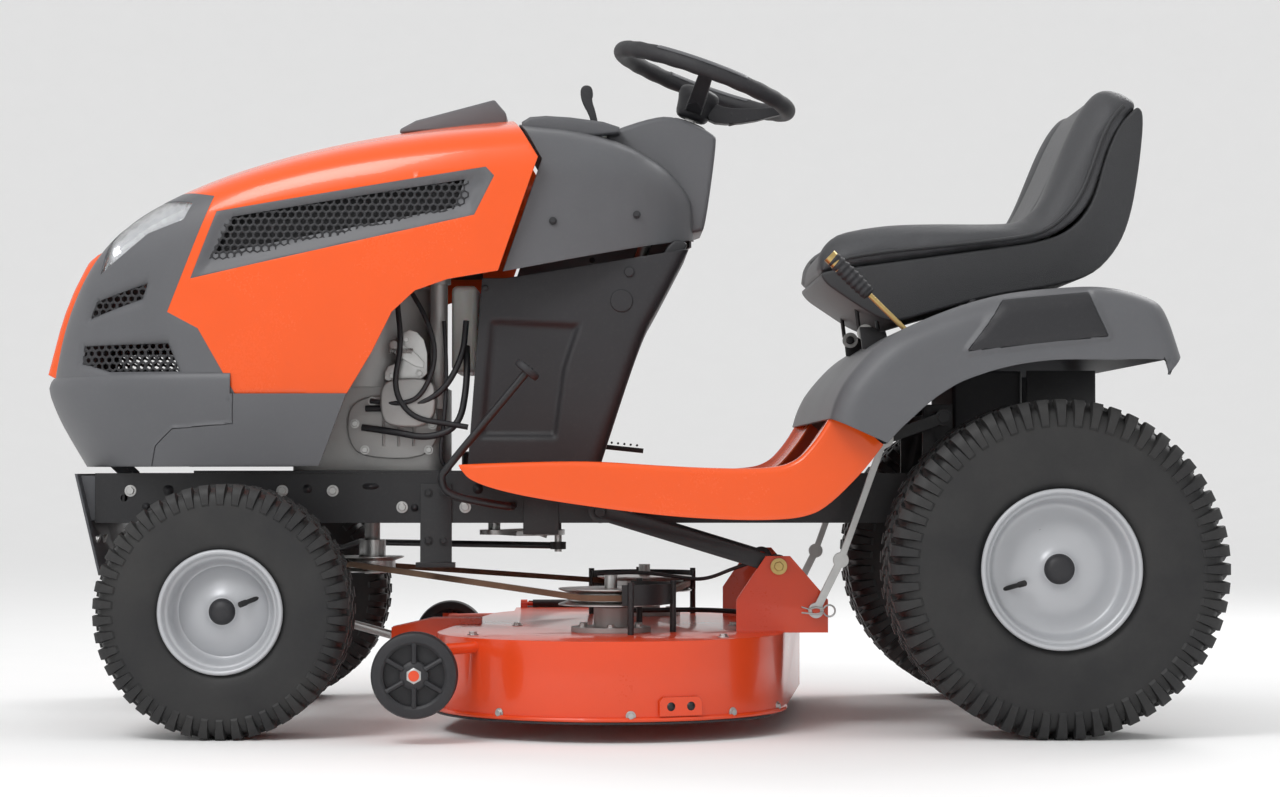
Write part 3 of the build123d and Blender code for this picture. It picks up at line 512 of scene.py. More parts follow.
def rimOutline(half, seat, hub, bore):
    face = [(half - 4, seat + 3), (half - 0.5, seat + 1), (half - 1.5, seat - 3.5), (half - 7, seat - 5.5),
            (half - 12, seat - 7), (half - 15, seat - 12), (half - 34, seat - 14.5), (half - 46, seat - 17),
            (half - 52, seat - 22), (half - 50, (seat + hub) / 2 + 10), (half - 43, (seat + hub) / 2 - 8),
            (half - 38, hub + 12), (half - 34, hub + 4), (half - 30, hub)]
    face = soften(face, 2)
    back = [(half - 30, bore), (-half + 22, bore), (-half + 22, hub), (half - 60, hub), (half - 60, seat - 26),
            (half - 54, seat - 20), (-half + 14, seat - 14), (-half + 3, seat - 4), (-half + 4, seat + 3),
            (-half + 10, seat + 1), (-half + 20, seat - 9), (half - 40, seat - 9), (half - 12, seat + 1)]
    return face + back


def makeWheel(end, side):
    body = f"{end}_{side}_wheel"
    tyreNode, rimNode = f"{end}_{side}_tyre", f"{end}_{side}_rim"
    sign = 1 if side == "left" else -1
    low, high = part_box(tyreNode)
    centre = (low + high) / 2
    half, outer = (high.y - low.y) / 2 / mm, (high.z - low.z) / 2 / mm
    rimLow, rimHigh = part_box(rimNode)
    seat = (rimHigh.z - rimLow.z) / 2 / mm
    look = wheelSizes[end]
    form = bmesh.new()
    addTurned(form, tyreOutline(half - 1, outer, seat), centre, 120)
    addTread(form, centre, half - 1, outer, look)
    place(tyreNode + "_tread", fromForm(form, tyreNode), body, "tyre_rubber", rubber, 30, (tyreNode,))
    hub, bore = (24, 13.2) if end == "rear" else (21, 10)
    outline = [(sign * u, r) for u, r in rimOutline(half, seat, hub, bore)]
    turned(rimNode + "_disc", outline, centre, body, "rim_paint", rimSilver, 96, hides=(rimNode,))
    capR = 23 if end == "rear" else 20
    cap = [(half - 34, 0.01), (half - 34, capR), (half - 27, capR), (half - 21, capR - 4),
           (half - 17, capR - 11),
           (half - 16, 0.01)]
    turned(f"{end}_{side}_hub_cap", [(sign * u, r) for u, r in soften(cap, 2, False)], centre, body,
           "black_plastic", blackGrain, 40)
    stem = bmesh.new()
    across = Vector((0.93, 0, -0.36)) if end == "rear" else Vector((-0.93, 0, 0.36))
    root = centre + Vector((0, sign * (half - 47), 0)) * mm + across * (seat - 38) * mm
    tip = root + (Vector((0, sign * 24, 0)) - across * 20) * mm
    addTube(stem, [root - (tip - root) * 0.3, root, root.lerp(tip, 0.5), tip], 3.6, 12)
    addTube(stem, [root.lerp(tip, 0.72), tip + (tip - root) * 0.12], 4.6, 12)
    place(f"{end}_{side}_valve", fromForm(stem, "valve"), body, "tyre_rubber", rubber)
    if end == "rear":
        # Black discs set in two holes of each rear rim: painted shade inside the holes.
        plugs_and_hole_shade = bmesh.new()
        for dx, dz in ((25, 55), (-15, -52)):
            spot = centre + Vector((dx, sign * (half - 46), dz)) * mm
            addTurned(plugs_and_hole_shade, [(-4 * sign, 0.01), (-4 * sign, 4.4), (2 * sign, 4.4), (2 * sign, 0.01)], spot, 20)
        place(f"{end}_{side}_rim_hole_shade", fromForm(plugs_and_hole_shade, "plugs_and_hole_shade"), body, "black_plastic", blackGrain)


for end in ("rear", "front"):
    for side in ("left", "right"):
        makeWheel(end, side)
print("wheels made")

# Points spread evenly along a line; the distance is measured in the first two numbers.
def sampled(points, count):
    lengths = [0.0]
    for p, q in zip(points, points[1:]):
        lengths.append(lengths[-1] + math.hypot(q[0] - p[0], q[1] - p[1]))
    result, j = [], 0
    for i in range(count):
        goal = lengths[-1] * i / (count - 1)
        while j < len(points) - 2 and lengths[j + 1] < goal:
            j += 1
        part = (goal - lengths[j]) / max(lengths[j + 1] - lengths[j], 1e-9)
        result.append(tuple(a + (b - a) * part for a, b in zip(points[j], points[j + 1])))
    return result


def inside(x, z, outline):
    hit = False
    for (x0, z0), (x1, z1) in zip(outline, outline[1:] + outline[:1]):
        if (z0 > z) != (z1 > z) and x < x0 + (x1 - x0) * (z - z0) / (z1 - z0):
            hit = not hit
    return hit


def edgeDistance(x, z, outline):
    best = 1e9
    for (x0, z0), (x1, z1) in zip(outline, outline[1:] + outline[:1]):
        dx, dz = x1 - x0, z1 - z0
        part = max(0.0, min(1.0, ((x - x0) * dx + (z - z0) * dz) / (dx * dx + dz * dz)))
        best = min(best, math.hypot(x - x0 - dx * part, z - z0 - dz * part))
    return best


def ease(value):
    value = max(0.0, min(1.0, value))
    return value * value * (3 - 2 * value)


def drawn(spot):
    return ((spot.x - axleX) / mm, (spot.y - midY) / mm, spot.z / mm)


def addGrid(form, rows, ring=False):
    made = [[form.verts.new(spot) for spot in row] for row in rows]
    for row, after in zip(made, made[1:]):
        count = len(row)
        for k in range(count if ring else count - 1):
            n = (k + 1) % count
            form.faces.new((row[k], row[n], after[n], after[k]))
    return made


# Splits the faces along an outline drawn in the side view, so that pieces part on a clean line.
def scribe(form, outline):
    for (x0, z0), (x1, z1) in zip(outline, outline[1:] + outline[:1]):
        low, high = (min(x0, x1) - 9, min(z0, z1) - 9), (max(x0, x1) + 9, max(z0, z1) + 9)
        near = []
        for face in form.faces:
            x, _, z = drawn(face.calc_center_median())
            if low[0] < x < high[0] and low[1] < z < high[1]:
                near.append(face)
        geom = set(near)
        for face in near:
            geom.update(face.edges)
            geom.update(face.verts)
        normal = Vector((z1 - z0, 0, x0 - x1)).normalized()
        bmesh.ops.bisect_plane(form, geom=list(geom), plane_co=at(x0, 0, z0), plane_no=normal, dist=1e-5)


def region(form, keep):
    part = form.copy()
    gone = [face for face in part.faces if not keep(*drawn(face.calc_center_median()))]
    bmesh.ops.delete(part, geom=gone, context="FACES")
    part.normal_update()
    return part


# Moves each point along its normal, by the amount (in mm) that the rule gives for its place.
def push(form, rule):
    shifts = [(v, v.normal * rule(*drawn(v.co)) * mm) for v in form.verts]
    for v, shift in shifts:
        v.co += shift
    form.normal_update()


def outward(form, centre):
    total = sum((face.calc_center_median() - centre).dot(face.normal) * face.calc_area() for face in form.faces)
    if total < 0:
        bmesh.ops.reverse_faces(form, faces=form.faces)
    form.normal_update()


def panel(name, form, body, slot, material, thickness=3.0, bevel=0.9, hides=(), sharp=50):
    mesh = bpy.data.meshes.new(name)
    form.to_mesh(mesh)
    form.free()
    piece = place(name, mesh, body, slot, material, sharp, hides)
    if thickness:
        wall = piece.modifiers.new("wall", "SOLIDIFY")
        wall.thickness = thickness * mm
        wall.offset = -1
        wall.use_even_offset = False
    if bevel:
        edge = piece.modifiers.new("edge", "BEVEL")
        edge.width = bevel * mm
        edge.segments = 2
        edge.limit_method = "ANGLE"
        edge.angle_limit = math.radians(55)
    return piece


# Stations: x, half width, top, shoulder height, crown, as the moulding's sections.
hoodShape = {
    "stations": [(783, 267, 978, 884, 28), (960, 266, 962, 868, 28), (1140, 258, 930, 838, 27),
                 (1300, 246, 882, 790, 25), (1420, 222, 826, 740, 24), (1490, 190, 764, 684, 22),
                 (1540, 134, 668, 600, 16), (1566, 84, 566, 540, 8), (1569, 50, 556, 536, 6)],
    "columns": 190, "girth": 121,
    "vent": [(1326, 701), (1285, 806), (864, 874), (851, 860), (882, 799)],
    "ventHole": [(1290, 739), (1262, 798), (897, 855), (913, 811)],
    "lamp": [(1324, 822), (1338, 794), (1395, 773), (1474, 710), (1466, 747), (1448, 789), (1390, 830)],
    "upperGrille": [(1494, 641), (1483, 667), (1397, 694), (1405, 670)],
    "lowerGrille": [(1510, 571), (1504, 597), (1363, 600), (1344, 556), (1460, 556)],
    "hexPitch": 12.0,
}
skirtEdge = [(845, 712), (923, 699), (974, 681), (1010, 648), (1041, 586), (1080, 521)]
orangeLine = ([(835, 1050), (835, 978), (783, 890)] + skirtEdge
              + [(1255, 521), (1314, 623), (1363, 649), (1290, 831), (1374, 846), (1374, 1050)])


def hoodSection(station, count):
    x, wide, top, shoulder, crown = station
    half = [(wide, 500), (wide + 2, shoulder - 60), (wide + 2, shoulder),
            (wide * 0.95, shoulder + (top - shoulder) * 0.5),
            (wide * 0.80, top - crown), (wide * 0.4, top - crown * 0.3)]
    line = half + [(0, top)] + [(-y, z) for y, z in reversed(half)]
    return sampled(soften(line, 3), count)


hoodStations = sampled([(s[0], s[2], s[1], s[3], s[4]) for s in soften(hoodShape["stations"], 3)],
                       hoodShape["columns"])
hoodStations = [(x, wide, top, shoulder, crown) for x, top, wide, shoulder, crown in hoodStations]


# Lateral place of the hood's side at a point of the side view.
def hoodSideY(x, z):
    station = min(hoodStations, key=lambda s: abs(s[0] - x))
    line = [p for p in hoodSection(station, 61) if p[0] >= 0]
    return min(line, key=lambda p: abs(p[1] - z))[0]


def hexMesh(name, outline, depth, body="hood", both=True):
    pitch = hoodShape["hexPitch"]
    xs, zs = [p[0] for p in outline], [p[1] for p in outline]
    form = bmesh.new()
    row = 0
    z = min(zs) - pitch
    while z < max(zs) + pitch:
        x = min(xs) - pitch + (pitch / 2 if row % 2 else 0)
        while x < max(xs) + pitch:
            if inside(x, z, outline) or edgeDistance(x, z, outline) < pitch * 0.8:
                for side in (1, -1) if both else (1,):
                    rings = []
                    for radius in (pitch / math.sqrt(3), pitch * 0.40):
                        ring = []
                        for k in range(6):
                            turn = math.pi / 6 + k * math.pi / 3
                            px, pz = x + radius * math.cos(turn), z + radius * math.sin(turn)
                            ring.append(form.verts.new(at(px, side * (hoodSideY(px, pz) - depth), pz)))
                        rings.append(ring)
                    for k in range(6):
                        n = (k + 1) % 6
                        quad = (rings[0][k], rings[0][n], rings[1][n], rings[1][k])
                        form.faces.new(quad if side > 0 else tuple(reversed(quad)))
            x += pitch
        z += pitch * math.sqrt(3) / 2
        row += 1
    bmesh.ops.remove_doubles(form, verts=form.verts, dist=0.0006)
    form.normal_update()
    return panel(name, form, body, "black_plastic", blackGrain, 3.0, 0.0)


# A black sheet set a little behind an opening in the hood's side: painted shade, so that the space behind the
# vent mesh reads dark.
def hoodShadeSheet(name, outline, depth, material):
    xs, zs = [p[0] for p in outline], [p[1] for p in outline]
    form = bmesh.new()
    for side in (1, -1):
        rows = []
        for i in range(25):
            x = min(xs) - 8 + (max(xs) - min(xs) + 16) * i / 24
            rows.append([at(x, side * (hoodSideY(x, z) - depth), z)
                         for z in [min(zs) - 8 + (max(zs) - min(zs) + 16) * j / 8 for j in range(9)]])
        addGrid(form, rows)
    bmesh.ops.recalc_face_normals(form, faces=form.faces)
    return panel(name, form, "hood", "black_plastic", material, 2.0, 0.0)


def makeHood():
    vent, ventHole, lamp = hoodShape["vent"], hoodShape["ventHole"], hoodShape["lamp"]
    grilles = (hoodShape["upperGrille"], hoodShape["lowerGrille"])
    form = bmesh.new()
    addGrid(form, [[at(s[0], y, z) for y, z in hoodSection(s, hoodShape["girth"])] for s in hoodStations])
    outward(form, at(1150, 0, 600))
    for outline in (orangeLine, vent, ventHole, lamp, *grilles):
        scribe(form, outline)
    for y in (46, -46):
        bmesh.ops.bisect_plane(form, geom=form.verts[:] + form.edges[:] + form.faces[:],
                               plane_co=at(1500, y, 700), plane_no=(0, 1, 0), dist=1e-5)
    spineLine = [(1470, 772), (1600, 772), (1600, 500), (1470, 500)]
    scribe(form, spineLine)

    def isSpine(x, y, z):
        return abs(y) < 46 and inside(x, z, spineLine)

    def isLamp(x, y, z):
        return abs(y) > 78 and inside(x, z, lamp)

    def isNose(x, y, z):
        cut = any(inside(x, z, grille) for grille in grilles)
        return (x > 1255 and z > 521 and not inside(x, z, orangeLine) and not isSpine(x, y, z)
                and not isLamp(x, y, z) and not cut)

    orange = region(form, lambda x, y, z: inside(x, z, orangeLine) and not inside(x, z, vent))
    panel("hood_cover", orange, "hood", "orange_moulding", orangeGloss, 3.0, 1.2, ("hood_shell",))

    frameRing = region(form, lambda x, y, z: inside(x, z, vent) and not inside(x, z, ventHole) and abs(y) > 150)
    push(frameRing, lambda x, y, z: -9 * ease((edgeDistance(x, z, vent) - 2) / 16))
    panel("vent_frames", frameRing, "hood", "grey_moulding", greySatin, 3.0, 1.0, ("side_vents",))
    hexMesh("vent_mesh", ventHole, 11)
    # Painted shade behind the vent mesh: black sheets set inside the hood's sides.
    hoodShadeSheet("vent_shade_sheets", ventHole, 24, blackGrain)

    nose = region(form, isNose)
    push(nose, lambda x, y, z: -6 * max(0.0, 1 - min(edgeDistance(x, z, g) for g in grilles) / 9) ** 2)
    panel("nose_panels", nose, "hood", "grey_moulding", greySatin, 3.0, 1.2, ("nose_cowl",))
    for name, grille in (("upper_grille", grilles[0]), ("lower_grille", grilles[1])):
        hexMesh(name, grille, 10)

    spine = region(form, isSpine)
    push(spine, lambda x, y, z: 19 * ease(min(46 - abs(y), (772 - z) * 0.5) / 22))
    panel("nose_spine", spine, "hood", "orange_moulding", orangeGloss, 3.0, 1.0)

    glass = region(form, isLamp)
    push(glass, lambda x, y, z: -1.0)
    panel("lamp_lenses", glass, "hood", "lamp_lens", lens, 2.0, 0.6, ("headlamps",))
    bowl = region(form, isLamp)
    push(bowl, lambda x, y, z: -6 - 12 * ease(edgeDistance(x, z, lamp) / 22) + 1.5 * math.sin(x * 0.35))
    panel("lamp_reflectors", bowl, "hood", "lamp_lens", chrome, 1.5, 0.0)
    form.free()


makeHood()
print("hood made")

# Bumper and lower side panels.
bumperShape = {
    "levels": ((408, 1521, 0.96), (466, 1556, 0.985), (496, 1571, 0.995), (530, 1584, 1.0), (546, 1580, 0.997),
               (552, 1568, 0.985)),
    "plan": [(0.0, 254), (0.35, 240), (0.66, 206), (0.87, 146), (1.0, 60)],
    "seam": 1255, "back": 1076,
    "panel": [(1060, 540), (1257, 540), (1257, 474), (1353, 466), (1380, 440), (1388, 400), (1060, 400)],
}


def bumperRow(z, front, width):
    seam = bumperShape["seam"]
    reach = front - seam
    half = [(seam + share * reach, y * width) for share, y in bumperShape["plan"]]
    half = [(bumperShape["back"], 262 * (0.5 + width / 2)), (1165, 259 * (0.5 + width / 2))] + half
    line = soften(half + [(x, -y) for x, y in reversed(half)], 3)
    return [at(x, y, z) for x, y in sampled(line, 240)]


def makeBumper():
    levels = sampled([(z, front, width) for z, front, width in soften(list(bumperShape["levels"]), 1)], 34)
    form = bmesh.new()
    addGrid(form, [bumperRow(*level) for level in levels])
    outward(form, at(1300, 0, 480))
    rear = [(1080, 521), (1123, 408), (1123, 380), (1700, 380), (1700, 600), (1262, 600), (1262, 521)]
    scribe(form, rear)
    scribe(form, bumperShape["panel"])
    side = region(form, lambda x, y, z: inside(x, z, rear) and inside(x, z, bumperShape["panel"]))
    panel("lower_panels", side, "hood", "grey_moulding", greySatin, 3.5, 1.3)
    front = region(form, lambda x, y, z: inside(x, z, rear) and not inside(x, z, bumperShape["panel"]))
    push(front, lambda x, y, z: 1.5 - 2.5 * ease(1 - edgeDistance(x, z, bumperShape["panel"]) / 5))
    panel("front_bumper", front, "hood", "grey_moulding", greySatin, 3.5, 1.3, ("bumper",))
    form.free()
    # The bumper's top closes back to the nose.
    shelf = bmesh.new()
    outer = [drawn(spot) for spot in bumperRow(552, 1568, 0.985)]
    rows = []
    for share in (0.0, 0.5, 1.0):
        rows.append([at(x - 26 * share, y * (1 - 0.10 * share), 551 + 2 * share) for x, y,
                     z in outer if x > 1262])
    addGrid(shelf, rows)
    bmesh.ops.recalc_face_normals(shelf, faces=shelf.faces)
    panel("bumper_shelf", shelf, "hood", "grey_moulding", greySatin, 2.0, 0.0)


makeBumper()
print("bumper made")

# Closed solid from a side-view outline, between two lateral places.
def slab(name, outline, low, high, body, slot, material, rounds=2, bevel=8.0, hides=(), segments=4):
    line = soften(outline, rounds, True) if rounds else outline
    form = bmesh.new()
    addPrism(form, [at(x, high, z) for x, z in line], [at(x, low, z) for x, z in line])
    bmesh.ops.recalc_face_normals(form, faces=form.faces)
    rims = [e for e in form.edges if len(e.link_faces) == 2 and max(len(f.verts) for f in e.link_faces) > 4]
    if bevel:
        bmesh.ops.bevel(form, geom=rims, offset=bevel * mm, segments=segments, profile=0.5, affect="EDGES",
                        clamp_overlap=True)
    return place(name, fromForm(form, name), body, slot, material, 40, hides)


dashShape = {
    "stations": [(534, 60, 812, 800, 4), (540, 108, 858, 826, 10), (600, 174, 918, 868, 16),
                 (700, 222, 958, 880, 22),
                 (840, 248, 971, 884, 27)],
    "keep": [(480, 784), (838, 712), (777, 890), (829, 985), (829, 1100), (480, 1100)],
    "tower": [(640, 784), (523, 784), (515, 800), (497, 932), (500, 948), (566, 978), (612, 972), (700, 940),
              (700, 860)],
}


def makeDash():
    form = bmesh.new()
    stations = sampled(soften(dashShape["stations"], 2), 70)
    rows = []
    for x, wide, top, shoulder, crown in stations:
        half = [(wide, 690), (wide + 1, shoulder - 40), (wide + 2, shoulder),
                (wide * 0.93, shoulder + (top - shoulder) * 0.6),
                (wide * 0.80, top - crown), (wide * 0.4, top - crown * 0.3)]
        line = half + [(0, top)] + [(-y, z) for y, z in reversed(half)]
        rows.append([at(x, y, z) for y, z in sampled(soften(line, 3), 111)])
    addGrid(form, rows)
    outward(form, at(700, 0, 700))
    scribe(form, dashShape["keep"])
    body = region(form, lambda x, y, z: inside(x, z, dashShape["keep"]))
    panel("dash_body", body, "root", "grey_moulding", greySatin, 3.5, 1.5, ("dash_cover",))
    form.free()
    slab("column_tower", dashShape["tower"], -83, 83, "root", "grey_moulding", greySatin, 2, 16)
    # A raised pad on top of the dash carries the throttle's slot.
    slab("throttle_pad", [(655, 938), (655, 958), (760, 972), (812, 968), (812, 940)], 66, 128, "root",
         "grey_moulding", greySatin, 1, 5)
    screws = [((628, 190, 806), (0, 1, 0.1)), ((760, 236, 792), (0, 1, 0.1)), ((600, 84, 880), (0, 1, 0))]
    bolts("dash_screws", screws, "root", 5.0, blackGrain)


makeDash()

consoleShape = {
    "rear": [(530, 782), (592, 662), (618, 617), (688, 402)], "front": [(860, 782), (873, 708), (896, 402)],
    "top": [(400, 776), (836, 706), (900, 706), (900, 380), (400, 380)],
    "deboss": [(863, 643), (713, 636), (738, 560), (752, 450), (879, 450)], "half": 180.0, "corner": 22.0,
}


def lineAt(line, z):
    for (x0, z0), (x1, z1) in zip(line, line[1:]):
        if (z0 - z) * (z1 - z) <= 0 and z0 != z1:
            return x0 + (x1 - x0) * (z - z0) / (z1 - z0)
    return line[0][0] if abs(z - line[0][1]) < abs(z - line[-1][1]) else line[-1][0]


def makeConsole():
    half, corner = consoleShape["half"], consoleShape["corner"]
    rear = soften(consoleShape["rear"], 3)
    form = bmesh.new()
    rows = []
    for i in range(85):
        z = 402 + (782 - 402) * i / 84
        back, front = lineAt(rear, z), lineAt(consoleShape["front"], z)
        side = [(front + (back + corner - front) * j / 60, half) for j in range(61)]
        bend = [(back + corner - corner * math.sin(t), half - corner + corner * math.cos(t))
                for t in [math.radians(15 * k) for k in range(1, 7)]]
        line = side + bend + [(back, (half - corner) * (1 - k / 10)) for k in range(1, 11)]
        rows.append([at(x, y, z) for x, y in line] + [at(x, -y, z) for x, y in reversed(line[:-1])])
    addGrid(form, rows)
    outward(form, at(750, 0, 600))
    scribe(form, consoleShape["top"])
    body = region(form, lambda x, y, z: inside(x, z, consoleShape["top"]))
    deboss = consoleShape["deboss"]

    def dent(x, y, z):
        if abs(y) < half - 2 or not inside(x, z, deboss):
            return 0.0
        return -9 * ease(edgeDistance(x, z, deboss) / 12)

    push(body, dent)
    panel("console_body", body, "root", "black_plastic", blackGrain, 3.5, 1.5, ("console",))
    form.free()
    discs = bmesh.new()
    for side in (1, -1):
        for x, z, r, out in ((652, 670, 18, 2.5), (640, 716, 8, 4), (700, 760, 5, 3), (868, 690, 5, 3)):
            outline = [(side * (half - 3), 0.01), (side * (half - 3), r), (side * (half + out - 1), r),
                       (side * (half + out), r - 1.2), (side * (half + out), 0.01)]
            addTurned(discs, outline, at(x, 0, z), 32)
    place("console_plugs", fromForm(discs, "plugs_and_hole_shade"), "root", "black_plastic", blackGrain)
    # A shelf under the column, at the console's rear edge.
    slab("console_shelf", [(552, 768), (545, 760), (590, 700), (596, 690), (612, 690), (600, 726), (572, 770)],
         -150, 150,
         "root", "black_plastic", blackGrain, 1, 4)


makeConsole()

fenderShape = {
    "top": [(338, 478), (330, 506), (312, 540), (261, 595), (200, 624), (137, 648), (75, 664), (0, 672),
            (-75, 675),
            (-140, 658), (-160, 640), (-182, 571)],
    "arch": [(258, 442), (240, 462), (225, 476), (192, 506), (168, 522), (144, 536), (83, 556), (20, 566),
             (-30, 567),
             (-80, 566), (-120, 568), (-178, 566)],
    "half": 459.0, "corner": 34.0,
    "inset": [(137, 580), (83, 650), (-42, 661), (-70, 602)],
}


def makeFender():
    half, corner = fenderShape["half"], fenderShape["corner"]
    pairs = [(p[0], p[1], a[0], a[1]) for p, a in zip(fenderShape["top"], fenderShape["arch"])]
    form = bmesh.new()
    rows = []
    for px, pz, ax, az in sampled(soften(pairs, 3), 130):
        length = math.hypot(ax - px, az - pz)
        dx, dz = (ax - px) / length, (az - pz) / length
        side = [(length + (corner - length) * j / 16, half) for j in range(17)]
        bend = [(corner * (1 - math.sin(t)), half - corner + corner * math.cos(t))
                for t in [math.radians(15 * k) for k in range(1, 7)]]
        line = side + bend + [(0, (half - corner) * (1 - k / 14)) for k in range(1, 15)]
        spots = [(px + dx * drop, y, pz + dz * drop) for drop, y in line]
        rows.append([at(*spot) for spot in spots] + [at(x, -y, z) for x, y, z in reversed(spots[:-1])])
    addGrid(form, rows)
    outward(form, at(60, 0, 480))
    inset = fenderShape["inset"]
    scribe(form, inset)

    def isInset(x, y, z):
        return abs(y) > half - 14 and inside(x, z, inset)

    slots = ((26, 234, -343, -317), (194, 238, 319, 341))
    for x0, x1, y0, y1 in slots:
        for spot, normal in ((at(x0, 0, 0), (1, 0, 0)), (at(x1, 0, 0), (1, 0, 0)),
                             (at(0, y0, 0), (0, 1, 0)), (at(0, y1, 0), (0, 1, 0))):
            near = [f for f in form.faces if x0 - 25 < drawn(f.calc_center_median())[0] < x1 + 25
                    and y0 - 60 < drawn(f.calc_center_median())[1] < y1 + 60]
            geom = set(near)
            for face in near:
                geom.update(face.edges)
                geom.update(face.verts)
            bmesh.ops.bisect_plane(form, geom=list(geom), plane_co=spot, plane_no=normal, dist=1e-5)

    def isSlot(x, y, z):
        return z > 600 and any(x0 < x < x1 and y0 < y < y1 for x0, x1, y0, y1 in slots)

    cover = region(form, lambda x, y, z: not isInset(x, y, z) and not isSlot(x, y, z))
    push(cover, lambda x, y, z: -5 * ease(1 - edgeDistance(x, z, inset) / 9) if abs(y) > half - 14 else 0.0)
    panel("fender_cover", cover, "root", "grey_moulding", greySatin, 4.0, 1.5, ("fender",))
    dark = region(form, isInset)
    push(dark, lambda x, y, z: -6.0 - 3 * ease(edgeDistance(x, z, inset) / 10))
    panel("fender_insets", dark, "root", "black_plastic", blackGrain, 3.0, 0.8)
    form.free()


makeFender()

footrestShape = {
    "top": [(899, 410), (860, 412), (760, 415), (687, 415), (600, 409), (520, 405), (440, 404), (392, 412),
            (360, 446),
            (337, 484), (330, 500)],
    "low": [(897, 404), (880, 384), (812, 364), (697, 346), (581, 332), (500, 327), (430, 326), (380, 330),
            (345, 344),
            (290, 398), (258, 440)],
    "outer": 400.0, "inner": 184.0, "rim": 13.0, "sink": 11.0,
}


def makeFootrests():
    look = footrestShape
    pairs = [(p[0], p[1], a[0], a[1]) for p, a in zip(look["top"], look["low"])]
    form = bmesh.new()
    for side in (1, -1):
        rows = []
        for i, (px, pz, ax, az) in enumerate(sampled(soften(pairs, 3), 120)):
            length = math.hypot(ax - px, az - pz)
            dx, dz = (ax - px) / length, (az - pz) / length
            outer, sink = look["outer"], look["sink"] * ease((i - 4) / 40)
            corner = min(9.0, length * 0.4)
            line = [(length + (corner - length) * j / 9, outer) for j in range(10)]
            line += [(corner * (1 - math.sin(t)), outer - corner + corner * math.cos(t))
                     for t in [math.radians(22.5 * k) for k in range(1, 5)]]
            rim = outer - corner - look["rim"]
            line += [(0, rim + 4), (0, rim), (sink * 0.5, rim - 4), (sink, rim - 9), (sink, rim - 14)]
            line += [(sink, rim - 14 + (look["inner"] - rim + 14) * k / 8) for k in range(1, 9)]
            rows.append([at(px + dx * drop, side * y, pz + dz * drop) for drop, y in line])
        addGrid(form, rows)
    bmesh.ops.recalc_face_normals(form, faces=form.faces)
    panel("footrest_trays", form, "root", "orange_moulding", orangeGloss, 3.0, 1.0, ("footrest",))


makeFootrests()
print("dash, console, fender and footrests made")

# Seat.
seatShape = {
    # Points on the pan and on the cushion's face, from the front edge to the top of the back.
    "pairs": [(332, 712, 346, 716), (328, 714, 344, 742), (300, 720, 318, 768), (240, 729, 240, 783),
              (160, 739, 160, 786),
              (90, 749, 84, 786), (20, 759, 26, 788), (-22, 768, 2, 802), (-56, 786, -20, 838),
              (-84, 816, -44, 888),
              (-102, 868, -66, 938), (-116, 916, -86, 976), (-136, 952, -108, 1004), (-154, 972, -138, 1006),
              (-160, 976, -158, 990)],
    "half": 230.0, "seam": 142.0, "bolster": 0.16,
}


def seatRow(bx, bz, tx, tz, edge):
    half, seam = seatShape["half"] - 16 * edge, seatShape["seam"]
    spots = []
    for k in range(73):
        y = half * math.cos(math.pi * k / 72)
        share = abs(y) / half
        lift = (1 - share ** 9) ** 0.5 * 0.92 + 0.04
        lift += seatShape["bolster"] * math.exp(-((abs(y) - seam - 42) / 26) ** 2)
        lift -= 0.13 * math.exp(-((abs(y) - seam) / 5.0) ** 2)
        spots.append((bx + (tx - bx) * lift, y, bz + (tz - bz) * lift))
    for k in range(1, 24):
        spots.append((bx, -half * 0.985 + 2 * half * 0.985 * k / 24, bz))
    return [at(*spot) for spot in spots]


# Inflates a closed form as cloth, with no point moving further than the cap.
def puff(piece, voxel, cap, pressure=4.0):
    remesh = piece.modifiers.new("remesh", "REMESH")
    remesh.mode = "VOXEL"
    remesh.voxel_size = voxel * mm
    apply(piece)
    start = [v.co.copy() for v in piece.data.vertices]
    cloth = piece.modifiers.new("cloth", "CLOTH")
    cloth.settings.use_pressure = True
    cloth.settings.uniform_pressure_force = pressure
    cloth.settings.effector_weights.gravity = 0
    cloth.settings.tension_stiffness = cloth.settings.compression_stiffness = 60
    cloth.settings.shear_stiffness = 40
    cloth.settings.bending_stiffness = 30
    cloth.point_cache.frame_end = 20
    for step in range(1, 21):
        bpy.context.scene.frame_set(step)
    apply(piece)
    bpy.context.scene.frame_set(1)
    for vertex, was in zip(piece.data.vertices, start):
        move = vertex.co - was
        if move.length > cap * mm:
            vertex.co = was + move * (cap * mm / move.length)
    settle = piece.modifiers.new("settle", "SMOOTH")
    settle.factor = 0.5
    settle.iterations = 3
    apply(piece)
    smooth = piece.modifiers.new("smooth", "SUBSURF")
    smooth.levels = smooth.render_levels = 1
    apply(piece)


def apply(piece):
    graph = bpy.context.evaluated_depsgraph_get()
    done = bpy.data.meshes.new_from_object(piece.evaluated_get(graph))
    piece.modifiers.clear()
    piece.data = done
    done.polygons.foreach_set("use_smooth", [True] * len(done.polygons))


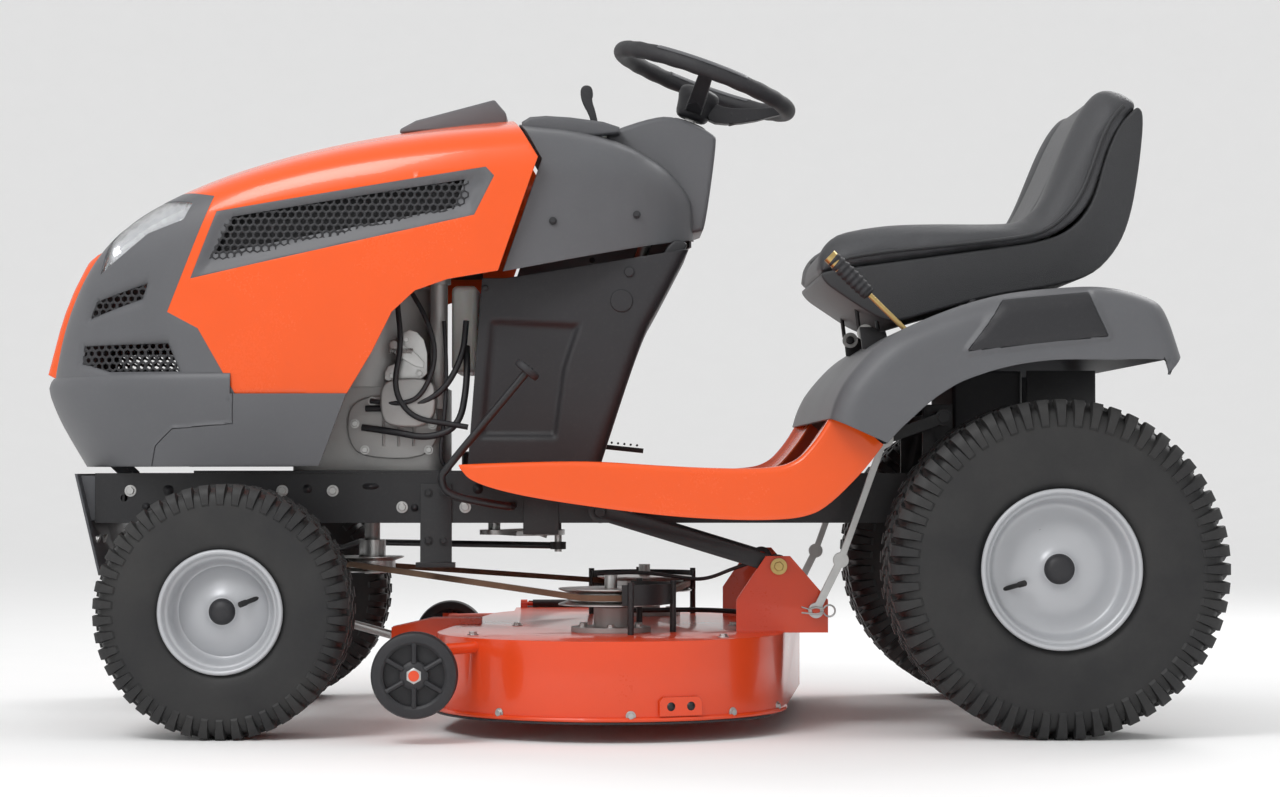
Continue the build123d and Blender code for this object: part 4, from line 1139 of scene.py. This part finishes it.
def makeSeat():
    pairs = sampled(soften(seatShape["pairs"], 3), 96)
    form = bmesh.new()
    rows = []
    for i, pair in enumerate(pairs):
        edge = ease(1 - min(i, 95 - i) / 7)
        rows.append(seatRow(*pair, edge))
    made = addGrid(form, rows, True)
    for ring, flip in ((made[0], False), (made[-1], True)):
        form.faces.new(ring if flip else list(reversed(ring)))
    pad = place("seat_padding", fromForm(form, "seat_padding"), "seat", "seat_vinyl", vinyl, 60,
                ("seat_cushion", "back_cushion"))
    puff(pad, 5.0, 4.0)
    pad.data.materials.clear()
    pad.data.materials.append(vinyl)
    piping = bmesh.new()
    for side in (1, -1):
        for y, depth in ((seatShape["seam"], 0.90), (seatShape["half"] - 1, 0.30)):
            line = [at(bx + (tx - bx) * depth, side * (y - 10 * ease(1 - min(i, 95 - i) / 6)),
                       bz + (tz - bz) * depth)
                    for i, (bx, bz, tx, tz) in enumerate(pairs) if 2 < i < 93]
            addTube(piping, line, 3.2, 8)
    place("seat_piping", fromForm(piping, "seat_piping"), "seat", "seat_vinyl", vinylDark)
    pan = [(340, 708), (330, 694), (313, 682), (253, 642), (221, 634), (160, 652), (74, 676), (-20, 690),
           (-87, 706),
           (-128, 748), (-150, 800), (-164, 880), (-172, 961), (-163, 976), (-154, 968), (-132, 946),
           (-110, 896),
           (-92, 826), (-62, 785), (-18, 763), (79, 749), (286, 721), (334, 714)]
    slab("seat_pan", pan, -224, 224, "seat", "black_plastic", vinylDark, 2, 22, ("seat_base",), 6)
    lug = bmesh.new()
    for side in (1, -1):
        for y in (138, 144):
            addTurned(lug, [(-1, 7), (-1, 13), (1, 13), (1, 7)], at(262, side * y, 622), 32)
    place("seat_hinge_washers", fromForm(lug, "washers"), "seat", "steel", zincSteel)
    legs = bmesh.new()
    for side in (1, -1):
        for x in (246, 276):
            addTube(legs, [at(x, side * 141, 660), at(x - 4, side * 141, 628), at(262, side * 141, 614)], 3.5,
                    10)
    place("seat_hinge_legs", fromForm(legs, "legs"), "seat", "frame_paint", frameBlack)


makeSeat()
print("seat made")

# Steering wheel, drawn on its own leaning axis.
wheelShape = {"radius": 145.0, "grip": 14.0, "tilt": -20.0}
column = Matrix.Translation(at(514, 0, 1043)) @ Matrix.Rotation(math.radians(wheelShape["tilt"]), 4, "Y")


def onColumn(x, y, z):
    return column @ (Vector((x, y, z)) * mm)


def makeSteeringWheel():
    radius = wheelShape["radius"]
    form = bmesh.new()
    rows = []
    for i in range(144):
        turn = 2 * math.pi * i / 144
        finger = 0.5 + 0.5 * math.cos(turn * 24)
        thick = wheelShape["grip"] - 0.9 * finger * (1 if abs(math.sin(turn)) > 0.35 else 0)
        row = []
        for k in range(24):
            round = 2 * math.pi * k / 24
            reach = radius + thick * math.cos(round) * (0.97 if math.cos(round) > 0 else 1.0)
            row.append(onColumn(reach * math.cos(turn), reach * math.sin(turn), thick * math.sin(round)))
        rows.append(row)
    addGrid(form, rows + [rows[0]], True)
    bmesh.ops.remove_doubles(form, verts=form.verts, dist=1e-6)
    place("steering_rim", fromForm(form, "rim"), "steering_wheel", "black_plastic", gripBlack, 50,
          ("steering_wheel",))
    strip = bmesh.new()
    for start in (55, 235):
        arcs = []
        for i in range(22):
            turn = math.radians(start + 60 * i / 21)
            arcs.append([onColumn((radius + 14.6 * math.cos(a)) * math.cos(turn),
                                  (radius + 14.6 * math.cos(a)) * math.sin(turn), 14.6 * math.sin(a))
                         for a in [math.radians(35 + 11 * k) for k in range(11)]])
        addGrid(strip, arcs)
    bmesh.ops.recalc_face_normals(strip, faces=strip.faces)
    panel("rim_inserts", strip, "steering_wheel", "grey_moulding", greySatin, 1.2, 0.3)
    spokes = bmesh.new()
    profile = [(22, -58), (46, -60), (92, -40), (radius - 10, -10), (radius + 2, -5), (radius + 1, 6),
               (radius - 9, 4),
               (86, -18), (50, -30), (22, -30)]
    for turn in (90, -90, 180):
        spin = Matrix.Rotation(math.radians(turn), 3, "Z")
        line = [(x, 15 - 4 * (x / radius), z) for x, z in soften(profile, 1, True)]
        addPrism(spokes, [onColumn(*(spin @ Vector(p))) for p in line],
                 [onColumn(*(spin @ Vector((x, -wide, z)))) for x, wide, z in line])
        # Crossed ribs under each spoke.
        for x0, x1 in ((34, 62), (62, 90)):
            for sign in (1, -1):
                z0, z1 = -52, -36
                line = [spin @ Vector((x0, 12 * sign, z0)), spin @ Vector((x1, -12 * sign, z1))]
                addTube(spokes, [onColumn(*p) for p in line], 3.0, 8)
    bmesh.ops.recalc_face_normals(spokes, faces=spokes.faces)
    spokeMesh = fromForm(spokes, "spokes")
    piece = place("steering_spokes", spokeMesh, "steering_wheel", "black_plastic", blackGrain, 40)
    edge = piece.modifiers.new("edge", "BEVEL")
    edge.width, edge.segments, edge.limit_method = 0.0018, 2, "ANGLE"
    hub = bmesh.new()
    outline = soften([(-68, 10), (-68, 27), (-40, 31), (-32, 34), (-22, 34), (-16, 30), (-12, 14),
                      (-12, 0.01)], 2)
    rings = []
    for side, r in outline:
        rings.append([onColumn(r * math.cos(2 * math.pi * k / 48), r * math.sin(2 * math.pi * k / 48), side)
                      for k in range(48)])
    addGrid(hub, rings, True)
    place("steering_hub", fromForm(hub, "hub"), "steering_wheel", "black_plastic", blackGrain)
    boot = bmesh.new()
    rings = []
    for i in range(30):
        depth = -74 - i * 1.9
        r = 27 + 4.0 * math.sin(i * 1.25) + i * 0.35
        rings.append([onColumn(r * math.cos(2 * math.pi * k / 40), r * math.sin(2 * math.pi * k / 40), depth)
                      for k in range(40)])
    addGrid(boot, rings, True)
    place("column_boot", fromForm(boot, "boot"), "root", "black_plastic", blackGrain)


makeSteeringWheel()
print("steering wheel made")

# Gauge wheels, deck fittings, engine fittings, controls and frame hardware.
gaugeShape = {"radius": 63.5, "half": 17.0, "spokes": 6}


def makeGaugeWheels():
    look = gaugeShape
    for side in ("left", "right"):
        centre = centreOf(side + "_gauge_wheel")
        half, radius = look["half"], look["radius"]
        rim = bmesh.new()
        edge = [(-half, 49), (-half, radius - 8), (-half + 2.5, radius - 2), (-half + 7, radius),
                (half - 7, radius),
                (half - 2.5, radius - 2), (half, radius - 8), (half, 49), (half - 3, 45), (-half + 3, 45)]
        addTurned(rim, edge, centre, 96)
        hub = [(-half, 8.6), (-half, 15), (-half + 4, 21), (half - 4, 21), (half, 15), (half, 8.6)]
        addTurned(rim, hub, centre, 64)
        web = [(-3, 18), (-3, 47), (3, 47), (3, 18)]
        addTurned(rim, web, centre, 64)
        for k in range(look["spokes"]):
            spin = Matrix.Rotation(2 * math.pi * k / look["spokes"], 3, "Y")
            for y in (-half + 4, half - 4):
                ends = [centre + spin @ Vector((0, y, r)) * mm for r in (18, 47)]
                addTube(rim, ends, 4.2, 8)
        place(side + "_gauge_wheel_spoked", fromForm(rim, "gauge"), side + "_gauge_wheel", "black_plastic",
              blackGrain, 35,
              (side + "_gauge_wheel",))
        out = 1 if side == "left" else -1
        cap = [(out * (half - 3), 0.01), (out * (half - 3), 12), (out * (half + 1), 12),
               (out * (half + 2.5), 9),
               (out * (half + 2.5), 0.01)]
        turned(side + "_gauge_nut", cap, centre, "deck", "steel", zincSteel, 6)


makeGaugeWheels()

deckShape = {
    "left": (669.0, 240.0), "right": (609.0, -290.0), "radius": 270.0, "top": 150.0,
}


def makeDeck():
    look = deckShape
    rounded("deck_shell", 5.0, 4, 50)
    (lx, ly), radius = look["left"], look["radius"]
    bead = bmesh.new()
    arc = [at(lx + (radius + 1.5) * math.cos(math.radians(t)), ly + (radius + 1.5) * math.sin(math.radians(t)),
              35)
           for t in range(4, 178, 3)]
    addTube(bead, arc, 3.6, 8)
    place("deck_lip", fromForm(bead, "lip"), "deck", "deck_paint", deckRed)
    # A thin black band just under the lip bead, on its front arc only: a painted shadow under the lip.
    strip = bmesh.new()
    rows = []
    for k in range(61):
        turn = math.radians(12 + 140 * k / 60)
        rows.append([at(lx + (radius + r) * math.cos(turn), ly + (radius + r) * math.sin(turn), z)
                     for r, z in ((0.4, 31.5), (4.2, 31.5), (4.2, 28.5), (0.4, 28.5))])
    addGrid(strip, rows, True)
    place("deck_lip_shadow_band", fromForm(strip, "strip"), "deck", "black_plastic", blackGrain)
    studs = []
    for t in (18, 52, 96, 132, 160):
        turn = math.radians(t)
        out = (math.cos(turn), math.sin(turn), 0)
        studs.append(((lx + (radius + 0.5) * out[0], ly + (radius + 0.5) * out[1], 41), out))
    bolts("deck_lip_bolts", studs, "deck", 6.0)
    tops = []
    for (x, y) in (look["left"], look["right"]):
        for k in range(6):
            turn = math.radians(30 + 60 * k)
            tops.append(((x + 50 * math.cos(turn), y + 50 * math.sin(turn), look["top"] + 8), (0, 0, 1)))
    tops += [((880, 330, 150), (0, 0, 1)), ((820, 60, 150), (0, 0, 1)), ((470, 60, 150), (0, 0, 1)),
             ((700, -420, 150), (0, 0, 1)), ((520, -470, 150), (0, 0, 1)), ((500, 400, 150), (0, 0, 1))]
    bolts("deck_top_bolts", tops, "deck", 7.0)
    # Belt keepers: posts beside each pulley, with a curved guard.
    guards = bmesh.new()
    for (x, y), start in ((look["left"], 100), (look["right"], 200)):
        ring = []
        for k in range(33):
            turn = math.radians(start + 150 * k / 32)
            ring.append([at(x + r * math.cos(turn), y + r * math.sin(turn), z)
                         for r, z in ((93, 194), (96, 194), (96, 226), (93, 226))])
        addGrid(guards, ring, True)
        guards.faces.new([guards.verts.new(v) for v in ring[0]])
        guards.faces.new([guards.verts.new(v) for v in reversed(ring[-1])])
        for turn in (start + 8, start + 75, start + 142):
            t = math.radians(turn)
            addTube(guards, [at(x + 97 * math.cos(t), y + 97 * math.sin(t), 148),
                             at(x + 97 * math.cos(t), y + 97 * math.sin(t), 230)], 5.0, 12)
    place("belt_keepers", fromForm(guards, "keepers"), "deck", "black_plastic", frameBlack)
    lugs = bmesh.new()
    for y in (256, 262):
        addTurned(lugs, [(-0.5, 0.01), (-0.5, 13), (1.5, 13), (1.5, 0.01)], at(408, y - 1, 252), 32)
    place("arm_bolt_washers", fromForm(lugs, "washers"), "deck", "steel", brassZinc)
    bolts("hanger_bolts", [((408, 257, 252), (0, 1, 0))], "deck", 9.0, brassZinc)
    # A spring clip through the lift rod's pin.
    clip = bmesh.new()
    ring = [at(331 + 9 * math.cos(math.radians(t)), 278.5, 184 + 9 * math.sin(math.radians(t)))
            for t in range(20, 341, 20)]
    addTube(clip, ring, 1.4, 6)
    addTube(clip, [at(340, 278.5, 187), at(352, 278.5, 189), at(362, 278.5, 186), at(374, 278.5, 190)], 1.4, 6)
    addTube(clip, [at(340, 278.5, 181), at(352, 278.5, 179), at(374, 278.5, 181)], 1.4, 6)
    place("lift_rod_clip", fromForm(clip, "clip"), "deck", "steel", zincSteel)
    # A plate with two holes at the rear left of the rim.
    plate = bmesh.new()
    turn = math.radians(112)
    out = Vector((math.cos(turn), math.sin(turn), 0))
    side = Vector((-math.sin(turn), math.cos(turn), 0))
    base = Vector((lx, ly, 0)) + out * (radius + 1.0)
    loop = []
    for u, z in ((-34, 40), (-34, 62), (-28, 68), (28, 68), (34, 62), (34, 40)):
        loop.append(base + side * u + Vector((0, 0, z)))
    addPrism(plate, [at(*(p + out * 3.0)) for p in loop], [at(*p) for p in loop])
    place("deck_rim_plate", fromForm(plate, "plate"), "deck", "deck_paint", deckRed, 30)
    # Black discs on the plate stand for its two holes: painted shade inside the holes.
    holes = bmesh.new()
    for u in (-16, 16):
        spot = base + side * u + Vector((0, 0, 54)) + out * 3.2
        vertices = [holes.verts.new(at(*(spot + side * 6.5 * math.cos(a) + Vector((0, 0, 6.5 * math.sin(a))))))
                    for a in [2 * math.pi * k / 24 for k in range(24)]]
        holes.faces.new(vertices)
    panel("deck_plate_hole_shade", holes, "deck", "black_plastic", frameBlack, 0.8, 0)
    tube("deck_cable", [(408, 214, 268), (470, 205, 250), (520, 190, 228), (560, 170, 232), (620, 150, 240),
                        (690, 138, 236)], 3.0, "deck", "black_plastic", blackGrain)
    tube("deck_rod", [(380, 190, 160), (420, 120, 172), (520, 60, 176), (640, 20, 172)], 4.0, "deck", "steel",
         frameBlack, 2)


makeDeck()
for soft, width in (("discharge_deflector", 1.5), ("front_bracket", 1.0), ("frame_brackets", 1.0),
                    ("battery_box", 4.0),
                    ("rear_frame", 1.0), ("seat_bracket", 1.5), ("lift_arms", 1.0), ("hood_scoop", 5.0)):
    rounded(soft, width, 3)
print("gauge wheels and deck made")

engineShape = {"fins": 9, "low": 444.0, "step": 17.0}


# Each cable's route, and its radius.
cableShape = (
    ([(1010, 140, 668), (1002, 156, 600), (1016, 160, 530), (985, 162, 484), (930, 160, 476), (896, 158, 470)],
     4.5),
    ([(990, 138, 690), (960, 152, 640), (945, 160, 580), (968, 163, 520), (1000, 160, 506), (1052, 146, 512)],
     4.0),
    ([(1060, 138, 500), (1000, 150, 500), (940, 158, 520), (905, 150, 580), (900, 140, 640)], 5.0),
    ([(936, 132, 640), (930, 148, 560), (934, 156, 480), (942, 152, 420), (930, 140, 404)], 3.2),
    ([(1066, 134, 470), (1010, 148, 462), (960, 156, 452), (910, 156, 470), (898, 146, 540), (900, 128, 600)],
     5.5),
)


def makeEngine():
    look = engineShape
    rounded("engine", 3.0, 3, 40)
    fins = bmesh.new()
    for k in range(look["fins"]):
        z = look["low"] + look["step"] * k
        for side in (1, -1):
            line = [(1126, side * 80), (1134, side * 96), (1320, side * 96), (1328, side * 88),
                    (1328, side * 70),
                    (1126, side * 70)]
            addPrism(fins, [at(x, y, z) for x, y in line], [at(x, y, z + 3.2) for x, y in line])
    place("engine_fins", fromForm(fins, "fins"), "root", "cast_alloy", alloy, 30)
    # Ribs, a side cover and its screws on the crankcase.
    slab("engine_side_cover", [(950, 420), (1065, 420), (1090, 448), (1090, 500), (1060, 522), (964, 522),
                               (944, 500)],
         123, 133, "root", "cast_alloy", alloy, 2, 2.5)
    screws = [((x, 132.5, z), (0, 1, 0)) for x, z in ((960, 434), (1062, 434), (1078, 476), (1050, 512),
                                                      (972, 512),
                                                      (954, 474))]
    bolts("engine_cover_bolts", screws, "root", 6.0)
    ribs = bmesh.new()
    for x in (984, 1008, 1032):
        addTube(ribs, [at(x, 132, 440), at(x, 132, 504)], 3.0, 8)
    place("engine_cover_ribs", fromForm(ribs, "ribs"), "root", "cast_alloy", alloy)
    # Carburettor bracket with its links, beside the shroud.
    slab("throttle_bracket", [(962, 540), (1030, 540), (1030, 566), (1006, 574), (1006, 620), (984, 628),
                              (962, 604)],
         138, 141, "root", "steel", zincSteel, 1, 0.8)
    slab("throttle_arm", [(968, 560), (1020, 590), (1024, 606), (1012, 610), (966, 578)], 143, 146, "root",
         "steel",
         zincSteel, 1, 0.8)
    slab("carburettor", [(952, 470), (1022, 470), (1036, 490), (1036, 536), (1016, 548), (960, 548),
                         (946, 530)], 124, 158,
         "root", "cast_alloy", alloy, 2, 4)
    bolts("bracket_bolts", [((974, 141, 556), (0, 1, 0)), ((996, 141, 610), (0, 1, 0)),
                            ((1018, 141, 552), (0, 1, 0))],
          "root", 5.5)
    spring = bmesh.new()
    coil = [at(985 + 0.42 * k, 148 + 4 * math.cos(k * 0.9), 592 + 4 * math.sin(k * 0.9)) for k in range(90)]
    addTube(spring, coil, 0.8, 6)
    place("governor_spring", fromForm(spring, "spring"), "root", "steel", zincSteel)
    cables = bmesh.new()
    for route, r in cableShape:
        addTube(cables, [at(*q) for q in soften(route, 3)], r, 12)
    place("engine_cables", fromForm(cables, "cables"), "root", "black_plastic", blackGrain)
    # Exhaust: a silencer drum behind the lower grille, with its pipe and clamp.
    drum = bmesh.new()
    outline = [(-70, 0.01), (-70, 40), (-64, 46), (-20, 46), (-18, 48), (-14, 46), (40, 46), (46, 46),
               (50, 48), (54, 46),
               (66, 46), (72, 40), (72, 0.01)]
    addTurned(drum, outline, at(1392, 30, 470), 64)
    place("silencer", fromForm(drum, "silencer"), "root", "steel", chrome)
    tube("exhaust_pipe", [(1330, 30, 500), (1350, 30, 500), (1362, 30, 486), (1380, 30, 476)], 14, "root",
         "steel",
         zincSteel, 2, 20)
    rounded("fuel_tank", 2.0, 3)


makeEngine()
print("engine made")


def ribbedGrip(name, start, end, radius, body, rings=9, belly=0.18):
    form = bmesh.new()
    start, end = Vector(start), Vector(end)
    along = end - start
    side = along.orthogonal().normalized()
    up = along.normalized().cross(side)
    rows = []
    steps = rings * 8
    for i in range(steps + 1):
        share = i / steps
        ripple = 0.93 + 0.07 * math.cos(share * rings * 2 * math.pi)
        r = radius * (1 + belly * math.sin(share * math.pi)) * ripple
        r *= min(1.0, 0.25 + math.sqrt(min(share, 1 - share) * 14))
        rows.append([at(*(start + along * share)) + (side * math.cos(t) + up * math.sin(t)) * r * mm
                     for t in [2 * math.pi * k / 32 for k in range(32)]])
    made = addGrid(form, rows, True)
    form.faces.new(made[0])
    form.faces.new(list(reversed(made[-1])))
    return place(name, fromForm(form, name), body, "black_plastic", gripBlack, 60)


def makeControls():
    leverY = (centreOf("fender_lever").y - midY) / mm
    ribbedGrip("fender_lever_grip", (272, leverY, 670), (333, leverY, 731), 11.5, "root")
    # Throttle lever: a bent blade with a rounded paddle, above a pale seal.
    slab("throttle_lever", [(684, 930), (694, 930), (702, 972), (716, 996), (719, 1016), (712, 1024),
                            (700, 1022), (697, 1008),
                            (700, 1000), (692, 976)], 90, 102, "root", "black_plastic", gripBlack, 2, 3,
                            ("dash_levers",))
    slab("throttle_seal", [(676, 936), (674, 952), (684, 962), (704, 962), (712, 950), (710, 936)], 84, 108,
         "root",
         "tank_plastic", tankWhite, 1, 3)
    form = bmesh.new()
    loop = soften([(606, -98, 900), (606, -98, 946), (612, -98, 957), (626, -98, 960), (642, -98, 954),
                   (646, -98, 944),
                   (646, -98, 905)], 3)
    addTube(form, [at(*q) for q in loop], 4.0, 12)
    place("dash_pull", fromForm(form, "pull"), "root", "black_plastic", gripBlack)
    padForm = bmesh.new()
    tilt = Matrix.Translation(at(799, 282, 557)) @ Matrix.Rotation(math.radians(-40), 4, "Y")
    rows = []
    outline = soften([(-6, 0.01), (-6, 19), (-4, 21.5), (4, 21.5), (6, 19.5), (6, 0.01)], 1)
    for k in range(48):
        t = 2 * math.pi * k / 48
        rows.append([tilt @ (Vector((r * math.cos(t), r * math.sin(t), z)) * mm) for z, r in outline])
    addGrid(padForm, rows + [rows[0]])
    bmesh.ops.remove_doubles(padForm, verts=padForm.verts, dist=1e-6)
    for offset in (-11, -3.7, 3.7, 11):
        reach = math.sqrt(19.0 ** 2 - offset ** 2) - 1.5
        addTube(padForm, [tilt @ (Vector((offset, -reach, 6.2)) * mm),
                          tilt @ (Vector((offset, reach, 6.2)) * mm)], 1.9, 8)
    place("brake_pad", fromForm(padForm, "pad"), "root", "black_plastic", gripBlack, 40)
    arm = soften([(824, 165, 345), (824, 262, 345), (840, 268, 347), (924, 268, 362), (934, 270, 390),
                  (926, 272, 402),
                  (801, 282, 552)], 2)
    form = bmesh.new()
    addTube(form, [at(*q) for q in arm], 6.2, 16)
    place("brake_arm", fromForm(form, "arm"), "root", "frame_paint", frameBlack, 50, ("brake_pedal",))
    rounded("drive_pedal", 1.5, 3)
    treads = bmesh.new()
    for k in range(9):
        x = 622 + 11 * k
        addTube(treads, [at(x, -309, 449.5 - (x - 666) * -0.105), at(x, -261, 449.5 - (x - 666) * -0.105)],
                2.0, 8)
    place("drive_pedal_ribs", fromForm(treads, "treads"), "root", "black_plastic", gripBlack)


makeControls()


def makeFrame():
    spots = []
    for x in (-120, -60, 40, 560, 640, 900, 1000, 1110, 1190, 1320, 1430):
        for side in (1, -1):
            spots.append(((x, side * 165, 357 + (12 if (x // 10) % 2 else -14)), (0, side, 0)))
    bolts("rail_bolts", spots, "root", 7.5)
    # Black patches on the rails' sides stand for their openings: painted shade inside the holes.
    holes = bmesh.new()
    for side in (1, -1):
        for x, z, w, h in ((880, 372, 16, 16), (1050, 376, 26, 10), (1150, 372, 14, 14), (1370, 370, 16, 16),
                           (1405, 344, 12, 12),
                           (980, 342, 12, 12), (730, 372, 16, 12), (330, 360, 24, 14)):
            y = side * 165.3
            ring = [(x - w / 2, z - h / 2), (x + w / 2, z - h / 2), (x + w / 2, z + h / 2),
                    (x - w / 2, z + h / 2)]
            ring = soften(ring, 2, True)
            holes.faces.new([holes.verts.new(at(px, y, pz)) for px, pz in ring])
    panel("rail_opening_shade", holes, "root", "black_plastic", blackGrain, 0.6, 0)
    bolts("foot_bolts", [((934, 170, 290), (0, 1, 0)), ((958, 170, 290), (0, 1, 0)),
                         ((934, 170, 366), (0, 1, 0)),
                         ((958, 170, 366), (0, 1, 0))], "root", 6.0, frameBlack)
    bolts("front_plate_bolts", [((1483, y, 290), (1, 0, 0.4)) for y in (-150, -90, 90, 150)], "root", 8.0)
    bolts("rear_plate_bolts", [((-154, y, z), (-1, 0, 0)) for y in (-150, 150) for z in (350, 440)], "root",
          8.0)
    bolts("fender_top_bolts", [((120, y, 656), (0.15, 0, 1)) for y in (-380, -250, 250, 380)], "root", 6.0,
          blackGrain)


makeFrame()
print("controls and frame hardware made")

# Stage, light and camera.
studio = {"flat": 9.0, "rise": 6.0, "height": 6.5, "sky": 0.82}


# A pale floor that curves up all round, so that no horizon shows.
def makeStage():
    form = bmesh.new()
    rings = [(0.01, 0.0)]
    for i in range(25):
        share = i / 24
        rings.append((studio["flat"] + studio["rise"] * math.sin(share * math.pi / 2),
                      studio["height"] * (1 - math.cos(share * math.pi / 2))))
    centre = at(650, 0, 0)
    rows = [[centre + Vector((r * math.cos(2 * math.pi * k / 96), r * math.sin(2 * math.pi * k / 96), z))
             for k in range(96)] for r, z in rings]
    addGrid(form, rows, True)
    mesh = bpy.data.meshes.new("floor")
    form.to_mesh(mesh)
    form.free()
    mesh.polygons.foreach_set("use_smooth", [True] * len(mesh.polygons))
    floor = bpy.data.objects.new("floor", mesh)
    bpy.context.scene.collection.objects.link(floor)
    mesh.materials.append(coated("floor_paint", rgb(0.93, 0.93, 0.93),
                                 {"rough": 0.85, "drift": 0.005, "dust": 0.0, "edge": 0.0}))
    world = bpy.data.worlds.new("studio")
    bpy.context.scene.world = world
    world.use_nodes = True
    world.node_tree.nodes["Background"].inputs["Color"].default_value = rgb(1, 1, 1)
    world.node_tree.nodes["Background"].inputs["Strength"].default_value = studio["sky"]
    bpy.context.scene.view_settings.view_transform = "Standard"


def areaLight(name, spot, target, size, power):
    lamp = bpy.data.lights.new(name, "AREA")
    lamp.shape = "RECTANGLE"
    lamp.size, lamp.size_y = size
    lamp.energy = power
    holder = bpy.data.objects.new(name, lamp)
    holder.location = spot
    holder.rotation_euler = (target - spot).to_track_quat("-Z", "Y").to_euler()
    bpy.context.scene.collection.objects.link(holder)


makeStage()
middle = at(650, 0, 500)
areaLight("key", middle + Vector((1.6, 2.6, 2.6)), middle, (1.6, 1.2), 60)
areaLight("rim_light", middle + Vector((-2.2, -2.2, 2.6)), middle, (2.0, 1.0), 50)

lensData = bpy.data.cameras.new("camera")
lensData.sensor_width = 36
lensData.lens = 81.7
camera = bpy.data.objects.new("camera", lensData)
camera.location = at(683, 4780, 402)
camera.rotation_euler = Vector((-38, -2906, 71.5)).to_track_quat("-Z", "Y").to_euler()
bpy.context.scene.collection.objects.link(camera)
bpy.context.scene.camera = camera
